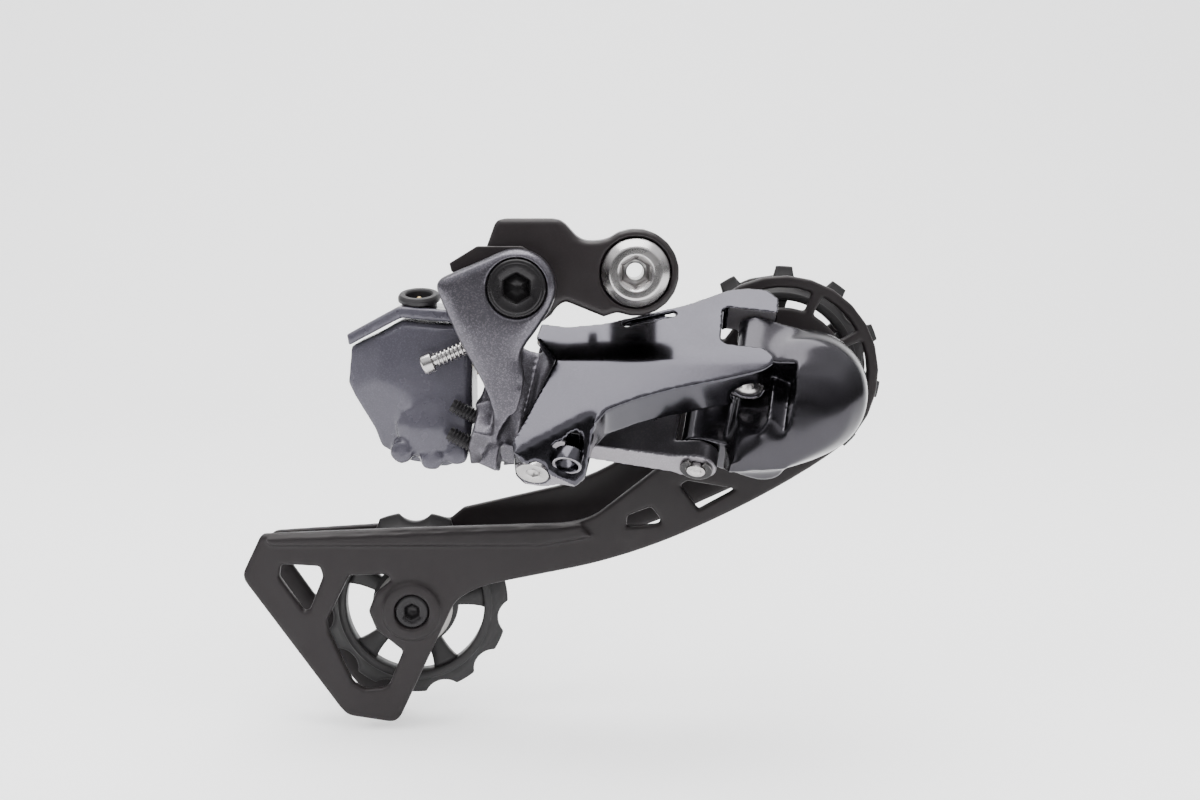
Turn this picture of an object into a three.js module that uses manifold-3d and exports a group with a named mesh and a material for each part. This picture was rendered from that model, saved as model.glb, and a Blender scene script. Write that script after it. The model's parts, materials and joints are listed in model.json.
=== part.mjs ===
// Rear bicycle derailleur with a motor-driven slanted parallelogram and a two-pulley cage.
// Millimetres. X points to the front of the bicycle, Y inboard towards the wheel, Z up.
// The origin is on the fixing bolt's axis, in the face that rests on the frame's hanger.
import * as THREE from 'three';
import { mergeVertices } from 'three/addons/utils/BufferGeometryUtils.js';
import { ConvexGeometry } from 'three/addons/geometries/ConvexGeometry.js';
import Module from 'manifold-3d';

const wasm = await Module();
wasm.setup();

// ---- driving sizes -------------------------------------------------------------------------
// A pair of numbers is [x, z] in the side view, unless a note says otherwise.
const RUN_GAP = 0.3; // side gap between pieces that turn on each other
const FIT_GAP = 0.1; // radial gap between a pin and its bore
const SEAT_GAP = 0.15; // gap left between pieces that are screwed together
const ROUND = 18; // sides of a small round
const BIG_ROUND = 26; // sides of a large one

const HANGER_EYE_R = 7.8;
const HANGER_EYE_DEPTH = 8;
const HANGER_BORE_R = 5.15;
const BOLT_HEAD_R = 6.7;
const BOLT_HEAD_DEPTH = 3.2;
const BOLT_THREAD_REACH = 8.5; // how far the fixing bolt stands out of the hanger face
const HEX_R = 2.9; // corner radius of the 5 mm hex sockets

const B_AXLE = [-22.8, -2.6];
const B_EYE_R = 7.7;
const B_EYE_OUT = -14.5; // outboard face of the B-member's eye
const B_EYE_IN = -9.2;
const B_AXLE_HEAD_R = 5.6;
const B_AXLE_SHANK_R = 4;
const STOP_PLATE_THICK = 0.9;

const B_SCREW_TILT = 23; // degrees above level
const B_SCREW_R = 1.5;
const B_SCREW_LENGTH = 15.4;
const B_SCREW_TIP = [-27.6, -12.3];
const LIMIT_TILT = -27;
const LIMIT_R = 1.5;
const LIMIT_LENGTH = 9;
const LIMIT_HEADS = [[-36.2, -26.1], [-36.9, -31.7]];
const ADJUSTER_Y = -5.6; // all three adjusting screws lie in this plane

const SLANT = 43; // degrees the link pins lean inboard at the top
const LEAN = 10; // degrees they lean forward
const B1_FOOT = [-19.7, -13.5, -37.1]; // lower end of the outer link's B-side pin, x y z
const LINK_LENGTH = 38.4; // between the pins of either link
const PIN_STEP = [-7.9, 12]; // from an outer pin to the inner pin beside it, across the pins
const PIN_R = 1.9;
const PIN_HEAD_R = 3.2;
const KNUCKLE_R = 3.6;
const SKIN = 1.8; // wall of the outer link
const FLANGE = 2; // thickness of the flange along its lower edge
const FLANGE_BACK = 2.4; // how far the flange reaches past the line between the link's pins

const P_AXIS = [37.5, -28];
const P_AXLE_R = 3;
const SPRING_ROOM_R = 8.6;
const SPRING_WIRE_R = 0.75;
const SPRING_TURNS = 4.5;
const NOSE_BACK = 19.6;
const CAGE_SWING = 95; // degrees from the rear stop to the front one
const STOP_PIN_AT = 11.2; // the cage's stop pin runs in an arc groove at this radius
const STOP_PIN_R = 1.2;
const STOP_SPIGOT_R = 0.9;
const STOP_START = 115; // degrees round the cage pivot, with the cage swung back
const STOP_GROOVE_FLOOR = 16.8;

const GUIDE = [32, -23];
const TENSION = [-48, -75.4];
const TEETH = 11;
const CHAIN_PITCH = 12.7;
const GUIDE_TIP_R = 22.7;
const TENSION_TIP_R = 20.6; // its teeth are cut shorter than the guide pulley's
const GUIDE_PHASE = 21.6; // degrees from the front to the first tooth
const TENSION_PHASE = 7.7;
const ROLLER_SEAT_R = 4.6;
const PULLEY_THICK = 2.3;
const CAGE_GAP = 10.8; // between the inner faces of the two cage plates
const OUTER_PLATE_THICK = 2.2;
const INNER_PLATE_THICK = 1.8;
const PULLEY_BUSH_R = 4.4;
const PULLEY_BOLT_R = 2.5;
const BOLT_SEAT_R = 3.9; // recess in the outer plate for the pulley bolt's head
const RIM_R = 21;

const CASE_FRONT = -3; // outboard face of the motor unit
const CASE_BACK = 13.5;
const CASE_WALL = 1.5;
const MOTOR_R = 4.6;
const SECTOR_TEETH = 20; // as if the sector went all the way round
const PINION_TEETH = 8;
const GEAR_MODULE = 0.8;

const SECTOR_Z = 31.6; // height of the toothed sector up the pins
const SECTOR_THICK = 2;

// ---- worked-out places ---------------------------------------------------------------------
const rad = THREE.MathUtils.degToRad;
const PLATE_OUT = NOSE_BACK + 0.8;
const PULLEY_Y = PLATE_OUT + OUTER_PLATE_THICK + CAGE_GAP / 2; // middle plane of the chain
const PLATE_IN = PULLEY_Y + CAGE_GAP / 2;
const B1 = [0, 0];
const P1 = [LINK_LENGTH, 0];
const B2 = PIN_STEP;
const P2 = [LINK_LENGTH + PIN_STEP[0], PIN_STEP[1]];
const GEAR_CENTRES = (GEAR_MODULE * (SECTOR_TEETH + PINION_TEETH)) / 2;
const PINION = [PIN_STEP[0] - GEAR_CENTRES, PIN_STEP[1]];
// Half the angle that the stop pin and its side clearance take up round the cage pivot.
const STOP_PIN_ARC = THREE.MathUtils.radToDeg((STOP_PIN_R + 0.2) / STOP_PIN_AT);
// Frame of the link pins: x along the links, y across them, z up the pins.
const slant = new THREE.Matrix4().makeTranslation(...B1_FOOT)
  .multiply(new THREE.Matrix4().makeRotationX(-rad(SLANT)))
  .multiply(new THREE.Matrix4().makeRotationY(rad(LEAN)));
const OUTER_B_LOW = [-1.7, 2.6];
const OUTER_B_HIGH = [26.8, 30.3];
const OUTER_P_LOW = [25.9, 31];
const OUTER_P_HIGH = [41.8, 48.2];
const INNER_LOW = [13, 17];
const INNER_HIGH = [28, 31];
const INNER_P_HIGH = [30.2, 33.2];

// ---- solid helpers -------------------------------------------------------------------------
function solid(geometry) {
  geometry.deleteAttribute('normal');
  geometry.deleteAttribute('uv');
  const merged = mergeVertices(geometry, 1e-4);
  const mesh = new wasm.Mesh({
    numProp: 3,
    vertProperties: new Float32Array(merged.attributes.position.array),
    triVerts: new Uint32Array(merged.index.array),
  });
  return new wasm.Manifold(mesh);
}

// Corner points of an outline, wound the way asked for, without doubled or in-line points.
function cornersOf(outline, segments, clockwise) {
  const raw = outline instanceof THREE.Path
    ? outline.getPoints(segments)
    : outline.map((p) => new THREE.Vector2(...p));
  const apart = raw.filter((p, i) => p.distanceTo(raw[(i + raw.length - 1) % raw.length]) > 0.02);
  const corners = apart.filter((p, i) => {
    const before = p.clone().sub(apart[(i + apart.length - 1) % apart.length]);
    const after = apart[(i + 1) % apart.length].clone().sub(p);
    return Math.abs(before.cross(after)) > 1e-7;
  });
  return THREE.ShapeUtils.isClockWise(corners) === clockwise ? corners : corners.reverse();
}

// The same corners moved into the solid by `inset`, for a bevel.
function insetCorners(corners, inset) {
  return corners.map((p, i) => {
    const before = p.clone().sub(corners[(i + corners.length - 1) % corners.length]).normalize();
    const after = corners[(i + 1) % corners.length].clone().sub(p).normalize();
    const middle = before.clone().add(after).normalize();
    const reach = inset / Math.max(0.5, middle.dot(after));
    return new THREE.Vector2(p.x - middle.y * reach, p.y + middle.x * reach);
  });
}

// A straight prism on a drawn outline, from z0 to z1, with its edges broken by `bevel`.
function prism(outline, z0, z1, { holes = [], bevel = 0, segments = 6 } = {}) {
  const rings = [cornersOf(outline, segments, false), ...holes.map((hole) => cornersOf(hole, segments, true))];
  const levels = bevel > 0 ? [[z0, bevel], [z0 + bevel, 0], [z1 - bevel, 0], [z1, bevel]] : [[z0, 0], [z1, 0]];
  const positions = [];
  for (const [z, inset] of levels) {
    for (const ring of rings) {
      insetCorners(ring, inset).forEach((p) => positions.push(p.x, p.y, z));
    }
  }
  const perLevel = rings.reduce((sum, ring) => sum + ring.length, 0);
  const top = perLevel * (levels.length - 1);
  const faces = THREE.ShapeUtils.triangulateShape(rings[0], rings.slice(1));
  const index = faces.flatMap(([a, b, c]) => [c, b, a, top + a, top + b, top + c]);
  for (let level = 0; level < levels.length - 1; level += 1) {
    let start = level * perLevel;
    for (const ring of rings) {
      ring.forEach((_, i) => {
        const a = start + i;
        const b = start + ((i + 1) % ring.length);
        index.push(a, b, b + perLevel, a, b + perLevel, a + perLevel);
      });
      start += ring.length;
    }
  }
  return new wasm.Manifold(new wasm.Mesh({
    numProp: 3,
    vertProperties: new Float32Array(positions),
    triVerts: new Uint32Array(index),
  }));
}

// A turned piece about z. The profile is [radius, height] pairs that start and end on the axis
// or close on themselves.
function turned(profile, segments = ROUND) {
  return solid(new THREE.LatheGeometry(profile.map((p) => new THREE.Vector2(...p)), segments).rotateX(Math.PI / 2));
}

function rod(radius, z0, z1, segments = ROUND, at = [0, 0]) {
  const body = turned([[0, z0], [radius, z0], [radius, z1], [0, z1]], segments);
  return body.translate([at[0], at[1], 0]);
}

function moved(body, matrix) {
  return body.transform([...matrix.elements]);
}

const byPins = (body) => moved(body, slant);
// Side-view work: outlines drawn in x and z, with depth counted along y.
const sideways = new THREE.Matrix4().makeRotationX(Math.PI / 2);
function sidePrism(outline, y0, y1, options) {
  return moved(prism(outline, -y1, -y0, options), sideways);
}
function sideTurned(profile, at, segments) {
  const flipped = profile.map(([r, y]) => [r, -y]).reverse();
  return moved(turned(flipped, segments), sideways).translate([at[0], 0, at[1]]);
}
function sideRod(radius, y0, y1, at, segments = ROUND) {
  return sideTurned([[0, y0], [radius, y0], [radius, y1], [0, y1]], at, segments);
}

function hexRod(cornerR, z0, z1) {
  return rod(cornerR, z0, z1, 6);
}
function sideHex(cornerR, y0, y1, at) {
  return sideTurned([[0, y0], [cornerR, y0], [cornerR, y1], [0, y1]], at, 6);
}

// Everything on the inner side of the plane through three points; `inside` is a point kept.
function halfSpace(a, b, c, inside, size = 160) {
  const origin = new THREE.Vector3(...a);
  const along = new THREE.Vector3(...b).sub(origin).normalize();
  const normal = new THREE.Vector3(...c).sub(origin).cross(along).normalize();
  if (normal.dot(new THREE.Vector3(...inside).sub(origin)) < 0) {
    normal.negate();
  }
  const side = normal.clone().cross(along);
  const basis = new THREE.Matrix4().makeBasis(along, side, normal).setPosition(origin);
  const box = new THREE.BoxGeometry(size, size, size).translate(0, 0, size / 2);
  return solid(box.applyMatrix4(basis));
}

function hull(points) {
  return solid(new ConvexGeometry(points.map((p) => new THREE.Vector3(...p))));
}

function box(x0, x1, y0, y1, z0, z1) {
  return solid(new THREE.BoxGeometry(x1 - x0, y1 - y0, z1 - z0)
    .translate((x0 + x1) / 2, (y0 + y1) / 2, (z0 + z1) / 2));
}

function arcPoints(at, r, a0, a1) {
  const count = Math.max(2, Math.ceil(Math.abs(a1 - a0) / 14));
  return Array.from({ length: count + 1 }, (_, i) => polar(at, r, a0 + ((a1 - a0) * i) / count));
}

// A pie slice about a point, in the plane across z, between two angles in degrees.
function wedge(at, rIn, rOut, a0, a1, z0, z1) {
  const inner = rIn > 0 ? arcPoints(at, rIn, a1, a0) : [at];
  return prism([...arcPoints(at, rOut, a0, a1), ...inner], z0, z1);
}

// Two rounded ends joined by straight sides, in the plane across z.
function strap(a, ra, b, rb, z0, z1, segments = ROUND) {
  const ring = (at, r, z) => Array.from({ length: segments }, (_, i) => {
    const turn = (i / segments) * 2 * Math.PI;
    return [at[0] + r * Math.cos(turn), at[1] + r * Math.sin(turn), z];
  });
  return hull([...ring(a, ra, z0), ...ring(a, ra, z1), ...ring(b, rb, z0), ...ring(b, rb, z1)]);
}

// Rings of thread on a shank: a zigzag profile from z0 to z1.
function threadProfile(radius, z0, z1, pitch) {
  const count = Math.max(2, Math.round((z1 - z0) / pitch));
  const step = (z1 - z0) / count;
  const depth = 0.45 * step;
  const profile = [];
  for (let i = 0; i < count; i += 1) {
    profile.push([radius - depth, z0 + i * step], [radius, z0 + (i + 0.5) * step]);
  }
  profile.push([radius - depth, z1]);
  return profile;
}

// ---- bracket and its bolts -----------------------------------------------------------------
function bracketOutline() {
  const shape = new THREE.Shape();
  shape.moveTo(-25.6, 10.4);
  shape.lineTo(-15.9, 10.4);
  shape.bezierCurveTo(-12.8, 10.4, -12.6, 6.4, -9.4, 6.1);
  shape.quadraticCurveTo(-7.6, 6, -5.6, 6.5);
  shape.absarc(0, 0, HANGER_EYE_R + 0.7, rad(131), rad(-115), true);
  shape.lineTo(-6.2, -8.6);
  shape.lineTo(-13.6, -5.6);
  shape.quadraticCurveTo(-15.4, -6.2, -16.4, -8.3);
  shape.absarc(...B_AXLE, B_EYE_R + 0.7, rad(-40), rad(-195), true);
  shape.lineTo(-27.3, 9.4);
  shape.quadraticCurveTo(-26.9, 10.4, -25.6, 10.4);
  return shape;
}

function bracketLink() {
  let body = sidePrism(bracketOutline(), -HANGER_EYE_DEPTH, 0, { bevel: 0.7, segments: 7 });
  const seatY = -HANGER_EYE_DEPTH + 1.6;
  body = body.subtract(sideRod(BOLT_HEAD_R + RUN_GAP, -HANGER_EYE_DEPTH - 1, seatY, [0, 0], BIG_ROUND));
  body = body.subtract(sideRod(HANGER_BORE_R, -HANGER_EYE_DEPTH - 1, 1, [0, 0], BIG_ROUND));
  body = body.subtract(sideRod(B_AXLE_SHANK_R + FIT_GAP, -20, -1.2, B_AXLE, BIG_ROUND));
  const lug = sidePrism([[-9.4, -3.4], [-7.4, -3.4], [-7.4, 3.4], [-9.4, 3.4]], -0.6, 2.6, { bevel: 0.4 });
  return body.add(lug);
}

function fixingBolt() {
  const head = -HANGER_EYE_DEPTH + 1.6 - SEAT_GAP;
  const face = head - BOLT_HEAD_DEPTH;
  const shank = HANGER_BORE_R - FIT_GAP;
  const profile = [[0, face], [5, face], [BOLT_HEAD_R - 0.3, face + 1.3], [BOLT_HEAD_R, face + 1.8],
    [BOLT_HEAD_R, head], [shank - 0.3, head], [shank - 0.3, 0.4],
    ...threadProfile(shank, 0.4, BOLT_THREAD_REACH - 0.6, 1.8), [shank - 1, BOLT_THREAD_REACH],
    [0, BOLT_THREAD_REACH]];
  let body = sideTurned(profile, [0, 0], ROUND);
  body = body.subtract(sideHex(HEX_R, face - 1, head + 3.4, [0, 0]));
  body = body.subtract(sideTurned([[0, face - 0.01], [HEX_R + 0.35, face - 0.01], [HEX_R - 0.3, face + 0.6],
    [0, face + 0.6]], [0, 0], ROUND));
  return body.subtract(sideRod(1.7, face, BOLT_THREAD_REACH + 1, [0, 0], 12));
}

function bAxleBolt() {
  const face = B_EYE_OUT - 0.3;
  const shoulder = B_EYE_OUT + 2.2;
  const r = B_AXLE_SHANK_R;
  let body = sideTurned([[0, face], [B_AXLE_HEAD_R - 0.5, face], [B_AXLE_HEAD_R, face + 0.5],
    [B_AXLE_HEAD_R, shoulder], [r, shoulder], [r, B_EYE_IN + 1.6], [r - 0.6, B_EYE_IN + 1.9],
    ...threadProfile(r - 0.1, B_EYE_IN + 2, -2, 1.9), [0, -1.6]], B_AXLE, ROUND);
  body = body.subtract(sideHex(HEX_R, face - 1, face + 4.2, B_AXLE));
  return body;
}

function bAxleBush() {
  const inner = B_AXLE_SHANK_R + FIT_GAP;
  const outer = inner + 0.8;
  return sideTurned([[inner, B_EYE_OUT + 2.5], [outer, B_EYE_OUT + 2.5], [outer, B_EYE_IN - 0.1],
    [inner, B_EYE_IN - 0.1], [inner, B_EYE_OUT + 2.5]], B_AXLE, BIG_ROUND);
}

// Unit vector of an adjusting screw in the side view, and a matrix that lays a z-axis rod on it.
function screwFrame(tilt, at) {
  const turn = new THREE.Matrix4().makeRotationY(rad(90 - tilt));
  return new THREE.Matrix4().makeTranslation(at[0], ADJUSTER_Y, at[1]).multiply(turn);
}

function stopPlate() {
  const y0 = B_EYE_IN + 0.15;
  const y1 = y0 + STOP_PLATE_THICK;
  const outline = [[-30.6, 5.2], [-36, 1.9], [-35.6, 0.3], [-31.2, -1.4], [-30.8, -6], [-27.2, -10.6],
    [-25, -13.4], [-22.6, -12], [-16.5, -7.4], [-15.6, -2], [-17.5, 2.6], [-22, 5.2]];
  let body = sidePrism(outline, y0, y1, { bevel: 0.15 });
  const flange = moved(prism([[-1.8, 2.4], [1.6, 2.4], [1.6, -3.3], [-1.8, -3.3]], 0.25, 1.45),
    screwFrame(B_SCREW_TILT, B_SCREW_TIP));
  body = body.add(flange);
  return body.subtract(sideRod(B_AXLE_SHANK_R + FIT_GAP, -20, 0, B_AXLE, BIG_ROUND));
}

function bTensionScrew() {
  const start = -B_SCREW_LENGTH;
  const body = turned([[0, start], [1.7, start], [2, start + 0.3], [2, start + 2.2], [1.3, start + 2.4],
    ...threadProfile(B_SCREW_R, start + 2.6, -0.6, 1.2), [0.9, 0], [0, 0]], 12);
  const socket = hexRod(1.2, start - 1, start + 1.7);
  return moved(body.subtract(socket), screwFrame(B_SCREW_TILT, B_SCREW_TIP));
}

function limitScrew(at) {
  const body = turned([[0, 0], [LIMIT_R - 0.35, 0], ...threadProfile(LIMIT_R, 0.2, LIMIT_LENGTH - 0.4, 1.2),
    [0.7, LIMIT_LENGTH], [0, LIMIT_LENGTH]], 12);
  return moved(body.subtract(hexRod(0.75, -1, 1.8)), screwFrame(LIMIT_TILT, at));
}

// ---- B-member ------------------------------------------------------------------------------
function armOutline() {
  const shape = new THREE.Shape();
  shape.moveTo(-37.4, -0.6);
  shape.lineTo(-27.2, 3.7);
  shape.absarc(...B_AXLE, B_EYE_R, rad(125), rad(-38), true);
  shape.lineTo(-19.6, -11.6);
  shape.quadraticCurveTo(-22.2, -14.4, -22.3, -16.4);
  shape.quadraticCurveTo(-21.1, -18.6, -21.2, -20.4);
  shape.lineTo(-23.8, -29.4);
  shape.lineTo(-25.2, -34.4);
  shape.quadraticCurveTo(-25, -38.2, -26.6, -38.5);
  shape.lineTo(-30.6, -36.6);
  shape.quadraticCurveTo(-27.2, -31.6, -27.3, -27.6);
  shape.quadraticCurveTo(-27.6, -24.4, -29.4, -21.2);
  shape.lineTo(-34.3, -12.2);
  shape.lineTo(-38.4, -2.6);
  shape.quadraticCurveTo(-38.6, -1.2, -37.4, -0.6);
  return shape;
}

// The block behind the arm that carries both B-side pins, drawn across the pins.
function pinCarrier() {
  const outline = [[-2, -3], [1.6, 3.1], [-3.6, 10.6], [-5, 15], [-10, 16.4], [-13.6, 14.6], [-14, 2], [-12.6, -4.4]];
  let body = prism(outline, OUTER_B_LOW[1] + RUN_GAP, INNER_HIGH[0] - RUN_GAP);
  body = body.intersect(prism(outline, -10, OUTER_B_HIGH[0] - RUN_GAP)
    .add(strap(B2, KNUCKLE_R + 0.4, [-12, 12], 4.6, -10, 60)));
  body = body.add(rod(KNUCKLE_R, OUTER_B_LOW[1] + RUN_GAP, OUTER_B_HIGH[0] - RUN_GAP));
  body = body.subtract(wedge(B2, KNUCKLE_R + 0.6, 40, -58, 82, -5, 60));
  body = body.subtract(rod(KNUCKLE_R + 1.5, -5, INNER_LOW[1] + RUN_GAP, ROUND, B2));
  body = body.subtract(wedge(B1, KNUCKLE_R + 0.5, 8.6, 196, 350, -5, 60));
  const bores = rod(PIN_R + FIT_GAP, -10, 60).add(rod(PIN_R + FIT_GAP, -10, 60, ROUND, B2));
  return byPins(body.subtract(bores)).intersect(box(-60, 30, -40, 60, -38.2, 40));
}

// Room swept by the outer link's B-side ears, and by its skin.
function outerEarRoom() {
  const low = rod(7.4, -9, OUTER_B_LOW[1] + RUN_GAP);
  const high = rod(6.6, OUTER_B_HIGH[0] - RUN_GAP, OUTER_B_HIGH[1] + 3);
  return byPins(low.add(high).add(wedge(B1, KNUCKLE_R + 0.5, 8.6, 200, 350, -5, 36)));
}

function adjusterHole(radius, tilt, at, length) {
  return moved(rod(radius, -length, length, 20), screwFrame(tilt, at));
}

function bMember() {
  let arm = sidePrism(armOutline(), B_EYE_OUT, B_EYE_IN, { bevel: 0.9, segments: 6 });
  // The arm is thinner than the eye: its outboard face drops back below the eye.
  arm = arm.subtract(halfSpace([-40, B_EYE_OUT, -8], [-10, B_EYE_OUT, -13], [-30, B_EYE_OUT + 1.6, -36],
    [-30, B_EYE_OUT - 10, -20], 80).intersect(box(-60, 0, -40, 0, -60, -5)));
  const lugs = sidePrism([[-33.4, -10.6], [-29.6, -9], [-27.9, -16], [-31.4, -18]], B_EYE_IN - 0.4, -3.2, { bevel: 0.4 })
    .add(sidePrism([[-31.4, -25.4], [-25.6, -23.6], [-24.6, -36.6], [-29.8, -37.6]], B_EYE_IN - 0.4, -2.6,
      { bevel: 0.4 }));
  let body = arm.add(lugs).subtract(outerEarRoom()).add(pinCarrier());
  body = body.subtract(sideRod(B_AXLE_HEAD_R + RUN_GAP, -30, B_EYE_OUT + 2.35, B_AXLE, BIG_ROUND));
  body = body.subtract(sideRod(B_AXLE_SHANK_R + 2 * FIT_GAP + 0.8, -30, 0, B_AXLE, BIG_ROUND));
  body = body.subtract(adjusterHole(B_SCREW_R + FIT_GAP, B_SCREW_TILT, B_SCREW_TIP, 20));
  for (const at of LIMIT_HEADS) {
    body = body.subtract(adjusterHole(LIMIT_R + FIT_GAP, LIMIT_TILT, at, LIMIT_LENGTH + 3.4));
  }
  return largest(body);
}

// The biggest closed body of a result, dropping any sliver a cut has left loose.
function largest(body) {
  const pieces = body.decompose();
  return pieces.reduce((best, piece) => (piece.volume() > best.volume() ? piece : best));
}

// ---- links and pins ------------------------------------------------------------------------
// Side face of the outer link, as [along the link, up the pins].
function outerLinkOutline(inset = 0) {
  const k = inset;
  return [[-4.4 + k, 1.4], [-3.6 + k, -0.8 + k], [-1.6, OUTER_B_LOW[0] + k], [8.4 - k, OUTER_B_LOW[0] + k],
    [10 - k, 0.4 + k], [10.2 - k, 7.4 + k], [12.4, 11.4 + k], [18, 15 + k], [24, 18 + k], [35, 22.6 + k],
    [41 - k, 25.4 + k], [42.8 - k, 27.2 + k], [42.6 - k, 29.2], [40.6, OUTER_P_LOW[1]], [33, OUTER_P_LOW[1]],
    [31.8, 32.2], [31.2, 40.8], [32.2, OUTER_P_HIGH[0]], [42.4 - k, OUTER_P_HIGH[0]], [42.2 - k, 46 - k],
    [39.8, 48.2 - k], [35.6, 48.2 - k], [31.6, 46.8 - k], [23.8, 41 - k], [7.8, 32.4 - k],
    [1, OUTER_B_HIGH[1] - k], [-4.4 + k, OUTER_B_HIGH[1] - k], [-4.6 + k, 26.2], [0.4 + k, 20.6], [-3 + k, 6]];
}

// The link's three outer facets, as the space behind them; `back` moves all three inwards.
function outerLinkFacets(back = 0) {
  const keep = [20, 0, 20];
  const at = (x, y, z) => [x, y + back, z];
  const crease = [at(0, -7.6, 20.4), at(34, -7.6, 26.8)];
  const upper = halfSpace(crease[0], crease[1], at(20, -5.2, 39), keep);
  const lower = halfSpace(crease[0], crease[1], at(-3.4, -5.8, 3.8), keep);
  const heel = halfSpace(at(-2.7, -6, 0.4), at(9.5, -6, 9.5), at(6, 0.5, -1.9), keep)
    .add(box(10.2, 80, -40, 40, -40, 80));
  return upper.intersect(lower).intersect(heel);
}

function upright(outline, y0, y1, options) {
  // Outline in x and z of the pin frame, depth along its y.
  return moved(prism(outline, -y1, -y0, options), sideways);
}

function outerLink() {
  const facets = outerLinkFacets();
  const blank = upright(outerLinkOutline(), -9, 4.2).intersect(facets);
  const slab = (z0, z1) => box(-20, 60, -20, 20, z0, z1);
  const earB = strap(B1, 4.6, [9, -3], 3.2, -20, 60).add(box(-4.4, 10, -8, -3, -20, 60));
  const earP = strap(P1, 4.2, [33, -3], 4, 0, 60).add(box(28, 43, -8, -2, 0, 60));
  const ears = earB.intersect(slab(...OUTER_B_LOW).add(slab(...OUTER_B_HIGH)))
    .add(earP.intersect(slab(OUTER_P_LOW[0], OUTER_P_LOW[1]).add(slab(...OUTER_P_HIGH))));
  const skinInside = upright(outerLinkOutline(0.9), -9, 9).intersect(outerLinkFacets(SKIN))
    .add(box(-20, 60, -4.3, 9, -20, 60));
  const lifted = outerLinkOutline().map(([x, z]) => [x, z + FLANGE]);
  const flange = upright(outerLinkOutline(), -9, FLANGE_BACK).subtract(upright(lifted, -20, 20))
    .subtract(box(-20, 4.9, -5, 20, 0, 40)).intersect(facets);
  // Solid heel between the rear pin and the notch, which the plain hole runs through.
  const heel = blank.intersect(box(4.9, 20, -9, FLANGE_BACK, -9, 9));
  let body = blank.subtract(skinInside).add(blank.intersect(ears)).add(flange).add(heel);
  // Long blind slot along the top edge.
  const slot = strap([12.5, 0], 0.75, [22.5, 0], 0.75, -1, 2.4, 12);
  const slotTurn = new THREE.Matrix4().makeTranslation(0, -5.4, 0)
    .multiply(new THREE.Matrix4().makeTranslation(12.5, 0, 33.2))
    .multiply(new THREE.Matrix4().makeRotationY(-rad(27)))
    .multiply(new THREE.Matrix4().makeTranslation(-12.5, 0, 0))
    .multiply(new THREE.Matrix4().makeRotationX(rad(90)));
  body = body.subtract(moved(slot, slotTurn));
  body = body.subtract(rod(KNUCKLE_R + 0.4, OUTER_B_LOW[1], OUTER_B_HIGH[0]));
  const hole = rod(2.3, -10, 12, ROUND, [6.5, -2.6]);
  body = body.subtract(hole).subtract(rod(PIN_R + FIT_GAP, -20, 60)).subtract(rod(PIN_R + FIT_GAP, 0, 60, ROUND, P1));
  body = body.subtract(rod(PIN_HEAD_R + FIT_GAP, -9, OUTER_B_LOW[0] + 1, BIG_ROUND));
  body = body.subtract(rod(PIN_HEAD_R + FIT_GAP, 10, OUTER_P_LOW[0] + 1.6, ROUND, P1));
  return byPins(largest(body));
}

function innerLink() {
  const z0 = INNER_LOW[0];
  const z1 = INNER_HIGH[1];
  let body = strap(B2, 2.3, P2, 3.2, z0, z1).intersect(box(-4, 25.6, 0, 30, z0, z1));
  body = body.add(strap(P2, 4.2, [22, 12], 2.2, z0, INNER_LOW[1]));
  body = body.add(strap(P2, 4, [22, 12], 2.4, INNER_P_HIGH[0], INNER_P_HIGH[1]));
  body = body.add(box(20.6, 25, 10, 14.2, z1 - 3, INNER_P_HIGH[1]));
  body = body.add(strap(B2, 4, [2, 12], 2.2, z0, INNER_LOW[1] - 1));
  body = body.add(strap(B2, 4, [2, 12], 2.2, INNER_HIGH[0], z1));
  body = body.subtract(rod(KNUCKLE_R + 0.4 + RUN_GAP, INNER_LOW[1] - 1, INNER_HIGH[0], ROUND, B2));
  body = body.subtract(rod(4.2 + RUN_GAP, INNER_LOW[1], INNER_P_HIGH[0], ROUND, P2));
  body = body.subtract(rod(PIN_R + FIT_GAP, 0, 60, ROUND, B2)).subtract(rod(PIN_R + FIT_GAP, 0, 60, ROUND, P2));
  return byPins(largest(body));
}

// A pin with a low head at its foot; `hollow` opens it right through.
function linkPin(at, z0, z1, headDepth, hollow) {
  const bore = hollow ? 1.3 : 0;
  const headR = headDepth > 0 ? PIN_HEAD_R : PIN_R;
  const profile = [[bore, z0], [headR, z0], [headR, z0 + headDepth + 0.01], [PIN_R, z0 + headDepth + 0.02],
    [PIN_R, z1 - 0.3], [PIN_R - 0.3, z1], [bore, z1]];
  if (hollow) {
    profile.push([bore, z0]);
  }
  let body = turned(profile).translate([at[0], at[1], 0]);
  if (!hollow && headDepth > 0) {
    body = body.subtract(hexRod(1.3, z0 - 1, z0 + 1.2).translate([at[0], at[1], 0]));
  }
  return byPins(body);
}

function snapRing(at, z) {
  return byPins(wedge(at, PIN_R + FIT_GAP, 3.4, -60, 240, z, z + 0.6));
}

// ---- P-member, its axle and spring ---------------------------------------------------------
function noseRing(y, at, r, count = 28) {
  return Array.from({ length: count }, (_, i) => {
    const turn = (i / count) * 2 * Math.PI;
    return [at[0] + r * Math.cos(turn), y, at[1] + r * Math.sin(turn)];
  });
}

function pMemberShell() {
  return hull([
    ...noseRing(NOSE_BACK, [35.6, -26], 12.8),
    ...noseRing(9, [35.4, -25.6], 13.4),
    ...noseRing(2.5, [35.2, -25.9], 12.2),
    ...noseRing(-2, [34.6, -28], 8.4, 18),
    ...noseRing(-3.6, [33.6, -29.4], 4.4, 12),
    [18.9, 6, -41.4], [18.9, -2, -40.4], [19.4, -3, -38.4], [18.8, 1, -33.4], [19, 8, -33.4],
    [30, -2.6, -39.6], [30, 9, -41.6], [37, 9, -40],
  ]);
}

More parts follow.
